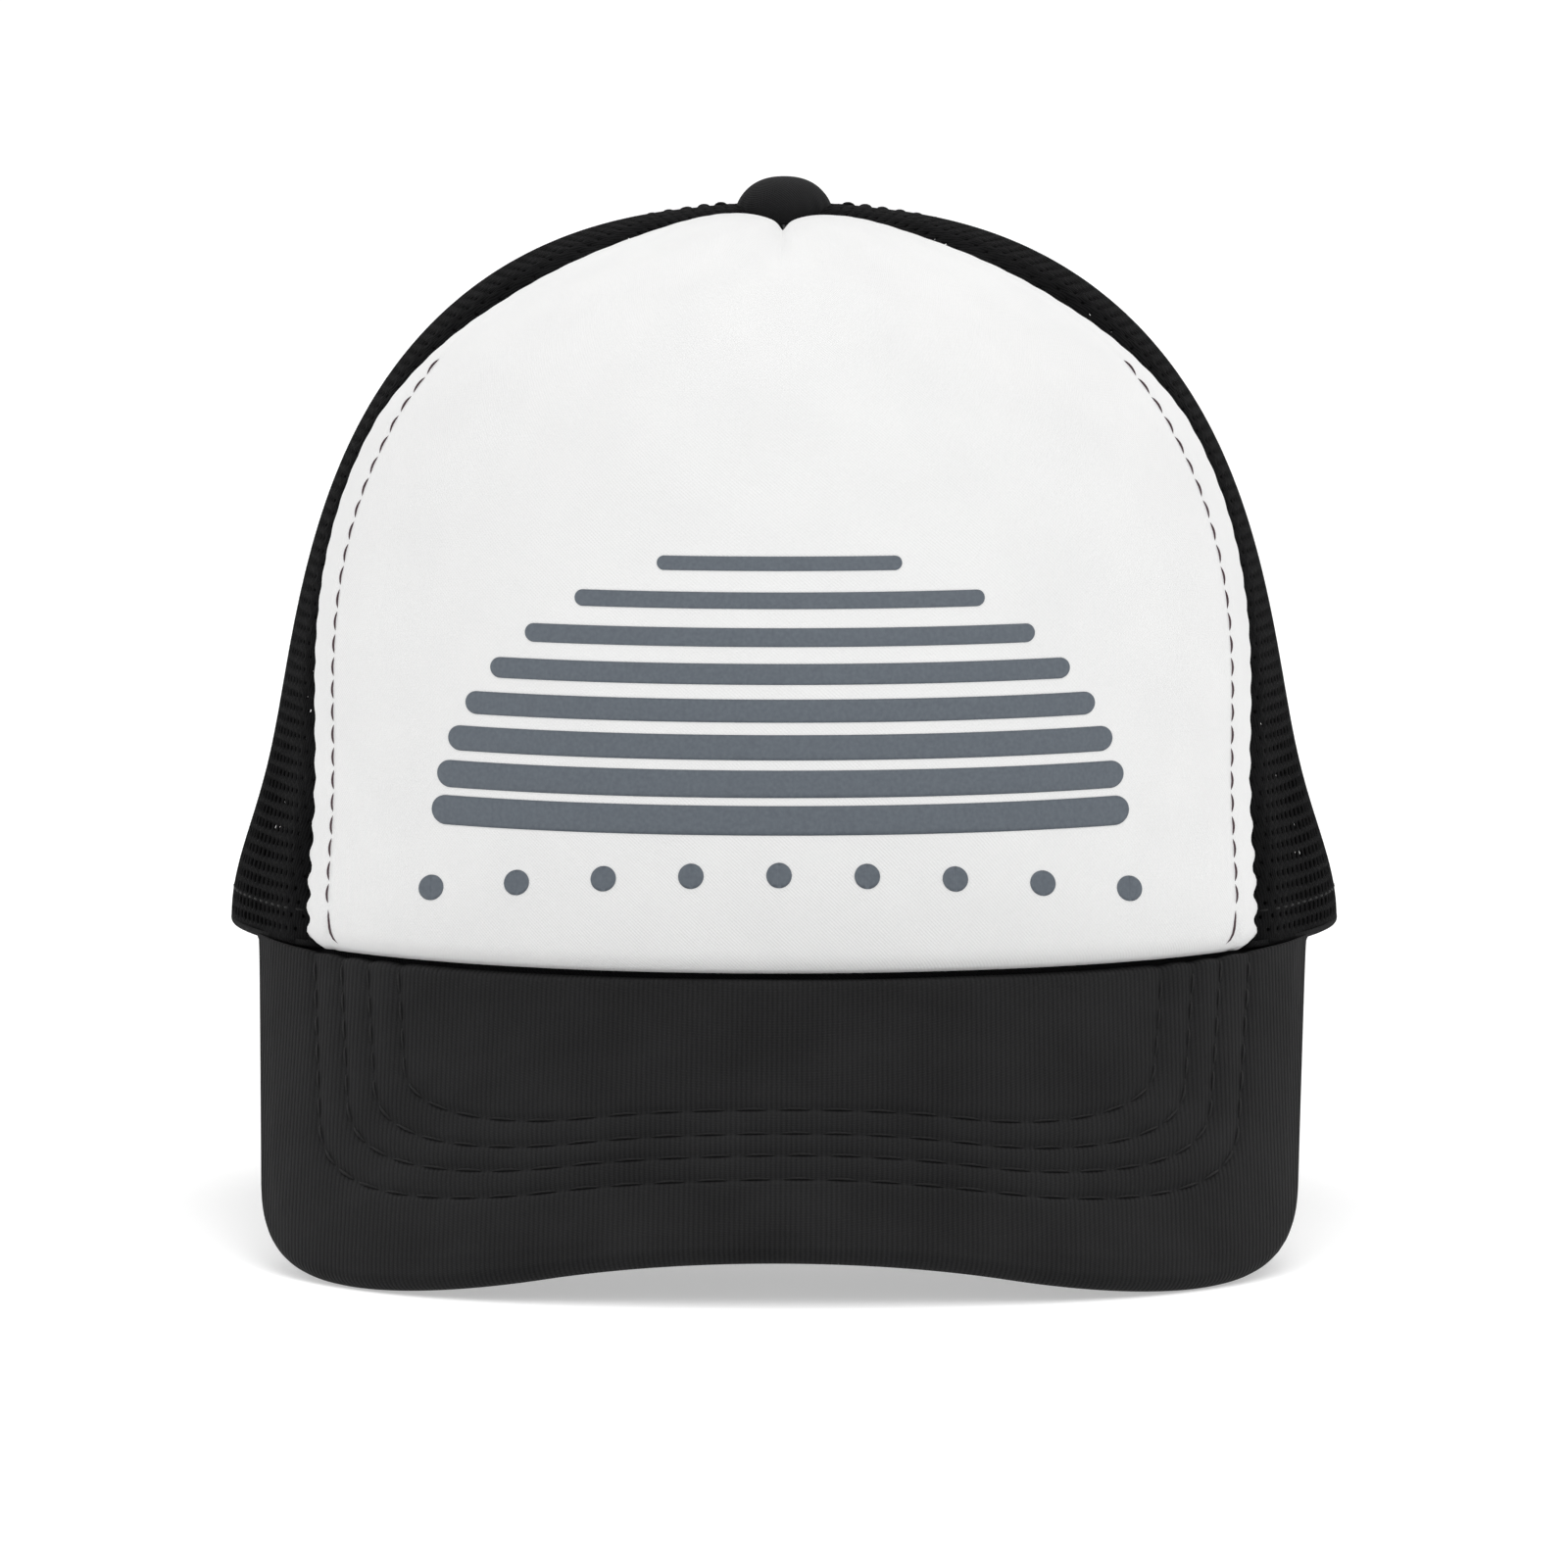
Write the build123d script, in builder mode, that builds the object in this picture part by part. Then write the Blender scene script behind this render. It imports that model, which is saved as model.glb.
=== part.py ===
"""Trucker cap: foam-backed front panel, four mesh panels, curved bill and a snap closure at the back.

Frame: the rim lies in the plane z = 0 with the origin at the middle of the head opening.
+Z points up along the crown, the bill points to -Y and +X is on the wearer's left.
Azimuths are in degrees about Z, measured from the front (-Y) towards +X.
"""

import os
from math import cos, exp, pi, radians, sin

from build123d import *

os.makedirs("parts", exist_ok=True)

# Rim: a circle at the level z = 0
RIM_RADIUS, RIM_CENTRE_Y = 95.0, 2.0

# Crown, measured to its outer face
CROWN_HEIGHT = 123.0
SIDE_REACH, SIDE_POWER = 88.0, 2.6
FRONT_REACH, FRONT_POWER = 93.0, 3.0
REAR_REACH, REAR_POWER = 95.0, 2.3
SIDE_FLARE, REAR_FLARE, FLARE_HEIGHT = 7.0, 2.0, 21.0
WALL_HEIGHTS = (0.0, 9.0, 18.0, 30.0, 44.0, 58.0, 72.0, 86.0)
TOP_SHARES = (0.79, 0.87, 0.93, 0.97, 0.99, 0.999)

# Layers of the crown wall, as depths below its outer face
FABRIC = 0.9
FOAM_BACK = 3.9
TAPE_FACE, TAPE_BACK = 1.05, 1.85
FRONT_TAPE_FACE, FRONT_TAPE_BACK = 4.1, 4.9
BAND_FACE, BAND_BACK = 5.1, 6.7
BINDING_PROUD, BINDING_BACK = 0.6, 1.6
CUT_BELOW_RIM = 1.0

# Seams
FRONT_SEAM_AZIMUTH, FRONT_SEAM_SWING, FRONT_SEAM_SKEW = 59.0, 14.0, 1.5
FRONT_SEAM_TURN, FRONT_SEAM_TURN_POWER = 20.0, 9
FRONT_SEAM_HEIGHTS = (-5.0, 15.0, 35.0, 55.0, 75.0, 90.0, 100.0, 108.0, 114.0, 119.0, 123.0)
SIDE_SEAM_AZIMUTH = 117.0
TAPE_WIDTH = 12.0
RIM_TAPE_HEIGHT = 9.0
TAPE_CLEARANCE = 0.2

# Rear opening
OPENING_HALF_WIDTH, OPENING_HEIGHT = 44.0, 50.0
BINDING_WIDTH = 8.0
BINDING_FOLD = 1.0

# Sweatband
BAND_HEIGHT = 34.0
BAND_GAP_HALF_WIDTH = 55.0

# Bill
BILL_PITCH = 37.3
BILL_REACH = 145.4
BILL_TIP = (83.2, 126.4)
BILL_ROOT = (89.3, 31.2)
BILL_CORNER_RADIUS = 60.0
COVER, BOARD = 0.6, 2.2
EDGE_WRAP = 0.8
BILL_CLEARANCE = 0.05
BILL_DEPTH = 90.0

# Button
BUTTON_RADIUS, BUTTON_HEIGHT = 8.0, 4.6
BUTTON_CLOTH, BUTTON_METAL = 0.5, 0.5
RIVET_RADIUS, RIVET_HOLE_RADIUS = 1.1, 1.5
RIVET_HEAD_RADIUS, RIVET_HEAD_THICKNESS = 2.75, 1.0
RIVET_CLEARANCE = 0.2
BACKING_RADIUS, BACKING_THICKNESS = 9.0, 0.7
BACKING_TOP = 117.9

# Snap closure
STRAP_THICKNESS = 1.2
STRAP_FOOT, STRAP_HEIGHT = 2.0, 17.0
HOLE_STRAP_RADIUS, PEG_STRAP_RADIUS = 90.0, 88.5
HINGE_ANGLE = 23.5
STRAP_END_ANGLE = 12.3
TAB_START_ANGLE, TAB_END_ANGLE = 24.1, 33.0
SNAP_PITCH = 4.8
SNAP_COUNT, SNAPS_CLOSED = 7, 5
HOLE_RADIUS, PEG_RADIUS, PEG_HEIGHT = 2.3, 1.7, 1.7
STRAP_CORNER = 6.5
HOLE_CUT_DEPTH = 6.0
LENGTH_TOLERANCE = 0.01

# Care label
LABEL_SIZE = (26.0, 0.4, 16.0)
LABEL_RADIUS, LABEL_AZIMUTH, LABEL_MIDDLE_HEIGHT = 78.5, 128.0, 17.0


def reach(radius, power, height, depth):
    """Distance from the axis to the wall at a height, for a wall set in by a depth."""
    share = max(height, 0) / (CROWN_HEIGHT - depth)
    return (radius - depth) * (1 - share**power) ** (1 / power)


def dome(depth, base=0.0):
    """Solid dome up to a depth below the crown's outer face, standing on the plane z = base."""
    below_rim = (base,) if base < 0 else ()
    near_top = tuple(share * (CROWN_HEIGHT - depth) for share in TOP_SHARES)
    with BuildPart() as body:
        for height in below_rim + WALL_HEIGHTS + near_top:
            flare = exp(-((max(height, 0) / FLARE_HEIGHT) ** 2))
            side = reach(SIDE_REACH, SIDE_POWER, height, depth) + SIDE_FLARE * flare
            front = reach(FRONT_REACH, FRONT_POWER, height, depth)
            rear = reach(REAR_REACH, REAR_POWER, height, depth) + REAR_FLARE * flare
            with BuildSketch(Plane.XY.offset(height)):
                with Locations((0, (rear - front) / 2)):
                    Ellipse(side, (front + rear) / 2)
        loft()
    return body.part


def shell(face, back):
    """The crown wall's layer between two depths, open at the rim and pierced at the top for the rivet."""
    outer, inner = dome(face), dome(back, base=-CUT_BELOW_RIM)
    with BuildPart() as layer:
        add(outer)
        add(inner, mode=Mode.SUBTRACT)
        Cylinder(RIVET_HOLE_RADIUS, 2 * CROWN_HEIGHT, mode=Mode.SUBTRACT)
    return layer.part


def finish(builder, name):
    """Labels a finished piece and writes it."""
    builder.part.label = name
    export_step(builder.part, f"parts/{name}.step")


def mirrored(builder):
    """The same piece on the other side of the cap."""
    with BuildPart() as other:
        mirror(builder.part, about=Plane.YZ)
    return other


def front_sector(shift=0.0):
    """Wedge that holds the front panel. Its two faces meet on the crown's axis and follow the front
    seams, which stand furthest back above the middle and turn forward at the top. A shift moves
    the wedge forward."""
    far = 3 * RIM_RADIUS
    with BuildPart() as wedge:
        for height in FRONT_SEAM_HEIGHTS:
            share = min(max(height, 0) / CROWN_HEIGHT, 1)
            swing = FRONT_SEAM_SWING * sin(pi * share**FRONT_SEAM_SKEW)
            turn = FRONT_SEAM_TURN * share**FRONT_SEAM_TURN_POWER
            azimuth = radians(FRONT_SEAM_AZIMUTH + swing - turn)
            side, back = far * sin(azimuth), -far * cos(azimuth) - shift
            with BuildSketch(Plane.XY.offset(height)):
                with BuildLine():
                    Polyline(
                        (0, -shift), (side, back), (side, -far), (-side, -far), (-side, back), close=True
                    )
                make_face()
        loft()
    return wedge.part


SIDE_SEAM = Plane(
    origin=(0, 0, 0),
    x_dir=(0, 0, 1),
    z_dir=(cos(radians(SIDE_SEAM_AZIMUTH)), sin(radians(SIDE_SEAM_AZIMUTH)), 0),
)
REAR_WALL_START, REAR_DEPTH = 60.0, 50.0
REAR_WALL = Plane(origin=(0, REAR_WALL_START, 0), x_dir=(-1, 0, 0), z_dir=(0, 1, 0))

fabric_shell = shell(0, FABRIC)
foam_shell = shell(FABRIC, FOAM_BACK)
tape_shell = shell(TAPE_FACE, TAPE_BACK)
front_tape_shell = shell(FRONT_TAPE_FACE, FRONT_TAPE_BACK)
band_shell = shell(BAND_FACE, BAND_BACK)
binding_shell = shell(-BINDING_PROUD, BINDING_BACK)
front = front_sector()
front_ahead_of_tape = front_sector(TAPE_WIDTH / sin(radians(FRONT_SEAM_AZIMUTH)))

# Front panel: a woven face over a foam back
for name, layer in (("front_face_fabric", fabric_shell), ("front_foam", foam_shell)):
    with BuildPart() as front_layer:
        add(layer)
        add(front, mode=Mode.INTERSECT)
    finish(front_layer, name)

# Mesh: two side panels and two rear panels, the rear ones cut for the half-moon opening
with BuildPart() as mesh_half:
    add(fabric_shell)
    add(front, mode=Mode.SUBTRACT)
    split(bisect_by=Plane.YZ, keep=Keep.TOP)

with BuildPart() as mesh_side_left:
    add(mesh_half.part)
    split(bisect_by=SIDE_SEAM, keep=Keep.BOTTOM)
finish(mesh_side_left, "mesh_side_left")
finish(mirrored(mesh_side_left), "mesh_side_right")

with BuildPart() as mesh_rear_left:
    add(mesh_half.part)
    split(bisect_by=SIDE_SEAM, keep=Keep.TOP)
    with BuildSketch(REAR_WALL):
        Ellipse(OPENING_HALF_WIDTH + BINDING_FOLD, OPENING_HEIGHT + BINDING_FOLD)
    extrude(amount=REAR_DEPTH, mode=Mode.SUBTRACT)
finish(mesh_rear_left, "mesh_rear_left")
finish(mirrored(mesh_rear_left), "mesh_rear_right")

# Binding folded over the edge of the opening
with BuildPart() as binding_groove:
    add(fabric_shell)
    with BuildSketch(REAR_WALL):
        Ellipse(OPENING_HALF_WIDTH + BINDING_FOLD, OPENING_HEIGHT + BINDING_FOLD)
    extrude(amount=REAR_DEPTH, mode=Mode.SUBTRACT)

with BuildPart() as rear_opening_binding:
    with BuildSketch(REAR_WALL):
        Ellipse(OPENING_HALF_WIDTH + BINDING_WIDTH, OPENING_HEIGHT + BINDING_WIDTH)
        Ellipse(OPENING_HALF_WIDTH, OPENING_HEIGHT, mode=Mode.SUBTRACT)
    extrude(amount=REAR_DEPTH)
    add(binding_shell, mode=Mode.INTERSECT)
    add(binding_groove.part, mode=Mode.SUBTRACT)
finish(rear_opening_binding, "rear_opening_binding")

# Tapes over the seams, inside the crown
with BuildPart() as front_seam_tape_left:
    add(front_tape_shell)
    add(front, mode=Mode.INTERSECT)
    add(front_ahead_of_tape, mode=Mode.SUBTRACT)
    split(bisect_by=Plane.YZ.offset(TAPE_CLEARANCE / 2), keep=Keep.TOP)
finish(front_seam_tape_left, "front_seam_tape_left")
finish(mirrored(front_seam_tape_left), "front_seam_tape_right")

with BuildPart() as side_seam_tape_left:
    add(tape_shell)
    split(bisect_by=Plane.XY.offset(RIM_TAPE_HEIGHT + TAPE_CLEARANCE), keep=Keep.TOP)
    split(bisect_by=SIDE_SEAM.offset(TAPE_WIDTH / 2), keep=Keep.BOTTOM)
    split(bisect_by=SIDE_SEAM.offset(-TAPE_WIDTH / 2), keep=Keep.TOP)
    split(bisect_by=Plane.YZ.offset(TAPE_WIDTH), keep=Keep.TOP)
finish(side_seam_tape_left, "side_seam_tape_left")
finish(mirrored(side_seam_tape_left), "side_seam_tape_right")

with BuildPart() as rear_seam_tape:
    add(tape_shell)
    split(bisect_by=Plane.XZ.offset(-2 * RIVET_HOLE_RADIUS), keep=Keep.BOTTOM)
    split(bisect_by=Plane.YZ.offset(TAPE_WIDTH / 2), keep=Keep.BOTTOM)
    split(bisect_by=Plane.YZ.offset(-TAPE_WIDTH / 2), keep=Keep.TOP)
    split(bisect_by=Plane.XY.offset(OPENING_HEIGHT + BINDING_WIDTH + TAPE_CLEARANCE), keep=Keep.TOP)
finish(rear_seam_tape, "rear_seam_tape")

with BuildPart() as rim_tape_left:
    add(tape_shell)
    split(bisect_by=Plane.XY.offset(RIM_TAPE_HEIGHT), keep=Keep.BOTTOM)
    add(front, mode=Mode.SUBTRACT)
    split(bisect_by=Plane.YZ, keep=Keep.TOP)
    with BuildSketch(REAR_WALL):
        Ellipse(OPENING_HALF_WIDTH + BINDING_WIDTH + TAPE_CLEARANCE, OPENING_HEIGHT + BINDING_WIDTH)
    extrude(amount=REAR_DEPTH, mode=Mode.SUBTRACT)
finish(rim_tape_left, "rim_tape_left")
finish(mirrored(rim_tape_left), "rim_tape_right")

# Sweatband, with its two ends either side of the rear opening
with BuildPart() as sweatband:
    add(band_shell)
    split(bisect_by=Plane.XY.offset(BAND_HEIGHT), keep=Keep.BOTTOM)
    with BuildSketch(REAR_WALL.offset(-REAR_WALL_START)):
        Rectangle(2 * BAND_GAP_HALF_WIDTH, 4 * BAND_HEIGHT)
    extrude(amount=REAR_DEPTH + REAR_WALL_START, mode=Mode.SUBTRACT)
finish(sweatband, "sweatband")

# Button: a metal cap covered in cloth, and a rivet that holds it through the crown to a disc inside
button_foot = CROWN_HEIGHT
cloth_top = button_foot + BUTTON_HEIGHT
cloth_sphere_radius = (BUTTON_RADIUS**2 + BUTTON_HEIGHT**2) / (2 * BUTTON_HEIGHT)


def button_dome(depth):
    """Solid spherical cap standing on the crown, set in by a depth below the cloth's face."""
    with BuildPart() as body:
        with Locations((0, 0, cloth_top - cloth_sphere_radius)):
            Sphere(cloth_sphere_radius - depth)
        split(bisect_by=Plane.XY.offset(button_foot), keep=Keep.TOP)
    return body.part


cloth_dome = button_dome(0)
metal_dome = button_dome(BUTTON_CLOTH)
hollow_dome = button_dome(BUTTON_CLOTH + BUTTON_METAL)

with BuildPart() as button_cover:
    add(cloth_dome)
    add(metal_dome, mode=Mode.SUBTRACT)
finish(button_cover, "button_cover")

with BuildPart() as button_shell:
    add(metal_dome)
    add(hollow_dome, mode=Mode.SUBTRACT)
finish(button_shell, "button_shell")

rivet_top = cloth_top - BUTTON_CLOTH - BUTTON_METAL
rivet_bottom = BACKING_TOP - BACKING_THICKNESS - RIVET_HEAD_THICKNESS
with BuildPart() as button_rivet:
    with BuildSketch(Plane.XY.offset(rivet_bottom)):
        Circle(RIVET_RADIUS)
    extrude(amount=rivet_top - RIVET_CLEARANCE - rivet_bottom)
    with BuildSketch(Plane.XY.offset(rivet_bottom)):
        Circle(RIVET_HEAD_RADIUS)
    extrude(amount=RIVET_HEAD_THICKNESS)
finish(button_rivet, "button_rivet")

with BuildPart() as button_backing:
    with BuildSketch(Plane.XY.offset(BACKING_TOP - BACKING_THICKNESS)):
        Circle(BACKING_RADIUS)
        Circle(RIVET_RADIUS, mode=Mode.SUBTRACT)
    extrude(amount=BACKING_THICKNESS)
finish(button_backing, "button_backing")

# Bill: a curved board between two cloth covers. Its faces are elliptic cylinders that slope
# down and forward, so that its top face meets the round rim all the way along.
BILL_SLOPE = Plane(
    origin=(0, RIM_CENTRE_Y, 0),
    x_dir=(1, 0, 0),
    z_dir=(0, -cos(radians(BILL_PITCH)), -sin(radians(BILL_PITCH))),
)


def bill_outline(margin):
    """Prism with the plan of the bill, set in by a margin at its free edge."""
    with BuildPart() as prism:
        with BuildSketch(Plane.XY.offset(-BILL_DEPTH)):
            with BuildLine():
                front_edge = ThreePointArc(
                    (-BILL_TIP[0], -BILL_TIP[1]),
                    (0, -BILL_REACH),
                    (BILL_TIP[0], -BILL_TIP[1]),
                )
                right_edge = Line(front_edge @ 0, (-BILL_ROOT[0], -BILL_ROOT[1]))
                left_edge = Line(front_edge @ 1, (BILL_ROOT[0], -BILL_ROOT[1]))
                Line(right_edge @ 1, left_edge @ 1)
            make_face()
            fillet(vertices().group_by(Axis.Y)[0], radius=BILL_CORNER_RADIUS)
            if margin:
                offset(amount=-margin, mode=Mode.REPLACE)
            with Locations((0, RIM_CENTRE_Y)):
                Circle(RIM_RADIUS + BILL_CLEARANCE, mode=Mode.SUBTRACT)
        extrude(amount=BILL_DEPTH)
    return prism.part


def bill_layer(face, back, prism):
    """The part of the bill between two depths below its top face."""
    rise = RIM_RADIUS * sin(radians(BILL_PITCH))
    with BuildPart() as layer:
        with BuildSketch(BILL_SLOPE):
            Ellipse(RIM_RADIUS - face, rise - face)
            Ellipse(RIM_RADIUS - back, rise - back, mode=Mode.SUBTRACT)
            with Locations((0, -RIM_RADIUS)):
                Rectangle(2 * RIM_RADIUS, 2 * RIM_RADIUS, mode=Mode.SUBTRACT)
        extrude(amount=2 * BILL_REACH)
        add(prism, mode=Mode.INTERSECT)
    return layer.part


cover_plan = bill_outline(0)
board_plan = bill_outline(EDGE_WRAP)
board_solid = bill_layer(COVER, COVER + BOARD, board_plan)
wrap_solid = bill_layer(0, COVER + BOARD, cover_plan)
under_solid = bill_layer(COVER + BOARD, 2 * COVER + BOARD, cover_plan)

with BuildPart() as bill_board:
    add(board_solid)
finish(bill_board, "bill_board")

with BuildPart() as bill_top_cover:
    add(wrap_solid)
    add(board_solid, mode=Mode.SUBTRACT)
finish(bill_top_cover, "bill_top_cover")

with BuildPart() as bill_under_cover:
    add(under_solid)
finish(bill_under_cover, "bill_under_cover")


# Snap closure: both straps are sewn inside the crown, and each swings on the line where it leaves the
# cloth. The outer strap has holes and the inner one has pegs. Angles here are from the rear, to +X.
def rear_point(radius, angle, height=0.0):
    """A point on a cylinder around the rim's centre."""
    return (
        radius * sin(radians(angle)),
        RIM_CENTRE_Y + radius * cos(radians(angle)),
        height,
    )


def rear_plane(radius, angle, height):
    """A plane that faces outward from such a point."""
    outward = (sin(radians(angle)), cos(radians(angle)), 0)
    return Plane(origin=rear_point(radius, angle, height), x_dir=(0, 0, 1), z_dir=outward)


def strap_band(radius, start, end, rounded):
    """A curved plate between two angles. If rounded, it has round corners at its start."""
    half = STRAP_THICKNESS / 2
    middle = (start + end) / 2
    with BuildPart() as band:
        with BuildSketch(Plane.XY.offset(STRAP_FOOT)):
            with BuildLine():
                inner = ThreePointArc(
                    rear_point(radius - half, start)[:2],
                    rear_point(radius - half, middle)[:2],
                    rear_point(radius - half, end)[:2],
                )
                outer = ThreePointArc(
                    rear_point(radius + half, start)[:2],
                    rear_point(radius + half, middle)[:2],
                    rear_point(radius + half, end)[:2],
                )
                Line(inner @ 0, outer @ 0)
                Line(inner @ 1, outer @ 1)
            make_face()
        extrude(amount=STRAP_HEIGHT)
        if rounded:
            tip = rear_point(radius, start, STRAP_FOOT + STRAP_HEIGHT / 2)
            short = band.edges().filter_by(
                lambda edge: abs(edge.length - STRAP_THICKNESS) < LENGTH_TOLERANCE
            )
            fillet(short.sort_by_distance(tip)[:2], radius=STRAP_CORNER)
    return band.part


snap_middle = STRAP_FOOT + STRAP_HEIGHT / 2
first_snap = -SNAP_PITCH * (SNAPS_CLOSED - 1) / 2
snap_angles = [first_snap + SNAP_PITCH * k for k in range(SNAP_COUNT)]
hole_band = strap_band(HOLE_STRAP_RADIUS, -STRAP_END_ANGLE, HINGE_ANGLE, True)
peg_band = strap_band(PEG_STRAP_RADIUS, STRAP_END_ANGLE, -HINGE_ANGLE, True)

with BuildPart() as hole_strap:
    add(hole_band)
    hole_planes = [
        rear_plane(HOLE_STRAP_RADIUS - HOLE_CUT_DEPTH / 2, angle, snap_middle) for angle in snap_angles
    ]
    with BuildSketch(*hole_planes):
        Circle(HOLE_RADIUS)
    extrude(amount=HOLE_CUT_DEPTH, mode=Mode.SUBTRACT)
finish(hole_strap, "hole_strap")

with BuildPart() as peg_strap:
    add(peg_band)
    with BuildSketch(*[rear_plane(PEG_STRAP_RADIUS, -angle, snap_middle) for angle in snap_angles]):
        Circle(PEG_RADIUS)
    extrude(amount=STRAP_THICKNESS / 2 + PEG_HEIGHT)
finish(peg_strap, "peg_strap")

for name, radius, side in (
    ("hole_strap_sewn_end", HOLE_STRAP_RADIUS, 1),
    ("peg_strap_sewn_end", PEG_STRAP_RADIUS, -1),
):
    tab = strap_band(radius, side * TAB_END_ANGLE, side * TAB_START_ANGLE, False)
    with BuildPart() as sewn_end:
        add(tab)
    finish(sewn_end, name)

# Blank care label, sewn inside the sweatband
with BuildPart(
    Plane(
        origin=(
            LABEL_RADIUS * sin(radians(LABEL_AZIMUTH)),
            -LABEL_RADIUS * cos(radians(LABEL_AZIMUTH)),
            LABEL_MIDDLE_HEIGHT,
        ),
        x_dir=(cos(radians(LABEL_AZIMUTH)), sin(radians(LABEL_AZIMUTH)), 0),
        z_dir=(0, 0, 1),
    )
) as care_label:
    Box(*LABEL_SIZE)
finish(care_label, "care_label")
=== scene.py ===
"""Trucker cap: a foam-backed white front, black knitted mesh, a stitched bill and a plastic snap closure.

Shapes are worked out in millimetres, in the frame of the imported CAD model: the rim lies in z = 0,
-Y is the front, +X the wearer's left. Azimuths are measured about Z from the front towards +X.
"""

import math

import bmesh
import bpy
import numpy as np
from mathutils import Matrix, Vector


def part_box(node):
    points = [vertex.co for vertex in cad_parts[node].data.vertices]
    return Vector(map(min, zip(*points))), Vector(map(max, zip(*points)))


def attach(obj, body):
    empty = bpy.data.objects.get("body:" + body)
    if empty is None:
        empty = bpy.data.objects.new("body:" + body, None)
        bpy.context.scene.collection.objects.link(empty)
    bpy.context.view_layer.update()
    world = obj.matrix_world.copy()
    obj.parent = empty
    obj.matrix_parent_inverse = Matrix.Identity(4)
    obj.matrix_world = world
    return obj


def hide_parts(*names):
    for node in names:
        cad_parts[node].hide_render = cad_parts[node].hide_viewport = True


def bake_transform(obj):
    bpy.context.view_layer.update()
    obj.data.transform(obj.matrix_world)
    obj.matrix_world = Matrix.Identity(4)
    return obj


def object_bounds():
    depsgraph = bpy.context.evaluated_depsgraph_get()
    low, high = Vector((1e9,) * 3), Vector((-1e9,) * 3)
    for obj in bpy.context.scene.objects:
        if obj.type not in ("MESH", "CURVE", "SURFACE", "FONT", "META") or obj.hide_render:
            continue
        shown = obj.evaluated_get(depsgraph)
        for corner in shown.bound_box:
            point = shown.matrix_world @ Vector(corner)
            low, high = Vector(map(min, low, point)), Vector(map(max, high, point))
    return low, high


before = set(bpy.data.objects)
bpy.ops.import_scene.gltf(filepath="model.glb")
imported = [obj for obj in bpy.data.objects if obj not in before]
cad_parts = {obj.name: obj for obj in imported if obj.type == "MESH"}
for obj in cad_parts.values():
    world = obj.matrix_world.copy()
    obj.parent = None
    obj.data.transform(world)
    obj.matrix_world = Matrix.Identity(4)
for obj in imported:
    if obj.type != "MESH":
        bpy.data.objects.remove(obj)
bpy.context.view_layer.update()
MM = 0.001
TAU = 2 * math.pi
SIDES = ((1, "left"), (-1, "right"))


def node_box(node):
    """Lowest and highest corner of a CAD node, in millimetres."""
    low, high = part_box(node)
    return np.array(low) / MM, np.array(high) / MM


# Crown: the same surface as in the CAD model
TOP_SHARE = 0.999
CROWN_HEIGHT = node_box("mesh_side_left")[1][2] / TOP_SHARE
SIDE_REACH, SIDE_POWER = 88.0, 2.6
FRONT_REACH, FRONT_POWER = 93.0, 3.0
REAR_REACH, REAR_POWER = 95.0, 2.3
SIDE_FLARE, REAR_FLARE, FLARE_HEIGHT = 7.0, 2.0, 21.0
RIM_RADIUS, RIM_CENTRE_Y = node_box("mesh_side_left")[1][0], 2.0
SECTION_RADIUS = 91.0
FRONT_SEAM_AZIMUTH, FRONT_SEAM_SWING, FRONT_SEAM_SKEW = 59.0, 14.0, 1.5
FRONT_SEAM_TURN, FRONT_SEAM_TURN_POWER = 20.0, 9
SIDE_SEAM = math.radians(117.0)
BINDING_WIDTH = 8.0
OPENING_HALF_WIDTH = 44.0
OPENING_HEIGHT = node_box("rear_opening_binding")[1][2] - BINDING_WIDTH

# Unevenness of each cloth, as (size, seed)
FACE_RIPPLE, MESH_RIPPLE, TAPE_RIPPLE, BILL_RIPPLE = (0.45, 11), (0.5, 5), (0.18, 3), (0.25, 8)

# Sizes of the stitches, as (pitch, length, thread radius)
TOP_STITCH = (3.9, 3.4, 0.19)
TAPE_STITCH = (3.4, 2.5, 0.22)
RIM_STITCH = (3.4, 2.6, 0.22)
SEAM_STITCH = (3.4, 2.6, 0.27)
BINDING_STITCH = (3.2, 2.4, 0.25)
BILL_STITCH = (7.0, 6.0, 0.24)
STRAP_STITCH = (2.8, 2.2, 0.27)
LABEL_STITCH = (2.6, 2.0, 0.2)


# ---------------------------------------------------------------- shapes of the crown
def fade(distance, width, power=2):
    """1 at no distance, falling smoothly to 0 over a few widths."""
    return np.exp(-((distance / width) ** power))


def ramp(value, start, end):
    """0 before start, 1 past end, and even between them."""
    return np.clip((value - start) / (end - start), 0, 1)


def distances(line):
    """Distance along a line of points to each of them."""
    return np.concatenate([[0], np.cumsum(np.linalg.norm(np.diff(line, axis=0), axis=1))])


def unit(vectors):
    """Vectors made one long."""
    return vectors / np.maximum(np.linalg.norm(vectors, axis=-1, keepdims=True), 1e-9)


def wall(z):
    """Half width, half length and middle y of the crown's level section."""
    share = np.clip(z / CROWN_HEIGHT, 0, 0.99999)
    flare = fade(np.maximum(z, 0), FLARE_HEIGHT)

    def reach(radius, power):
        return radius * (1 - share**power) ** (1 / power)

    side = reach(SIDE_REACH, SIDE_POWER) + SIDE_FLARE * flare
    front = reach(FRONT_REACH, FRONT_POWER)
    rear = reach(REAR_REACH, REAR_POWER) + REAR_FLARE * flare
    return side, (front + rear) / 2, (rear - front) / 2


def crown(azimuth, z):
    """Points on the crown's wall."""
    side, half, middle = wall(z)
    right, back = np.sin(azimuth), -np.cos(azimuth)
    square = (right / side) ** 2 + (back / half) ** 2
    linear = back * middle / half**2
    radius = (linear + np.sqrt(linear**2 - square * ((middle / half) ** 2 - 1))) / square
    return np.stack([radius * right, radius * back, z + 0 * radius], -1)


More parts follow.
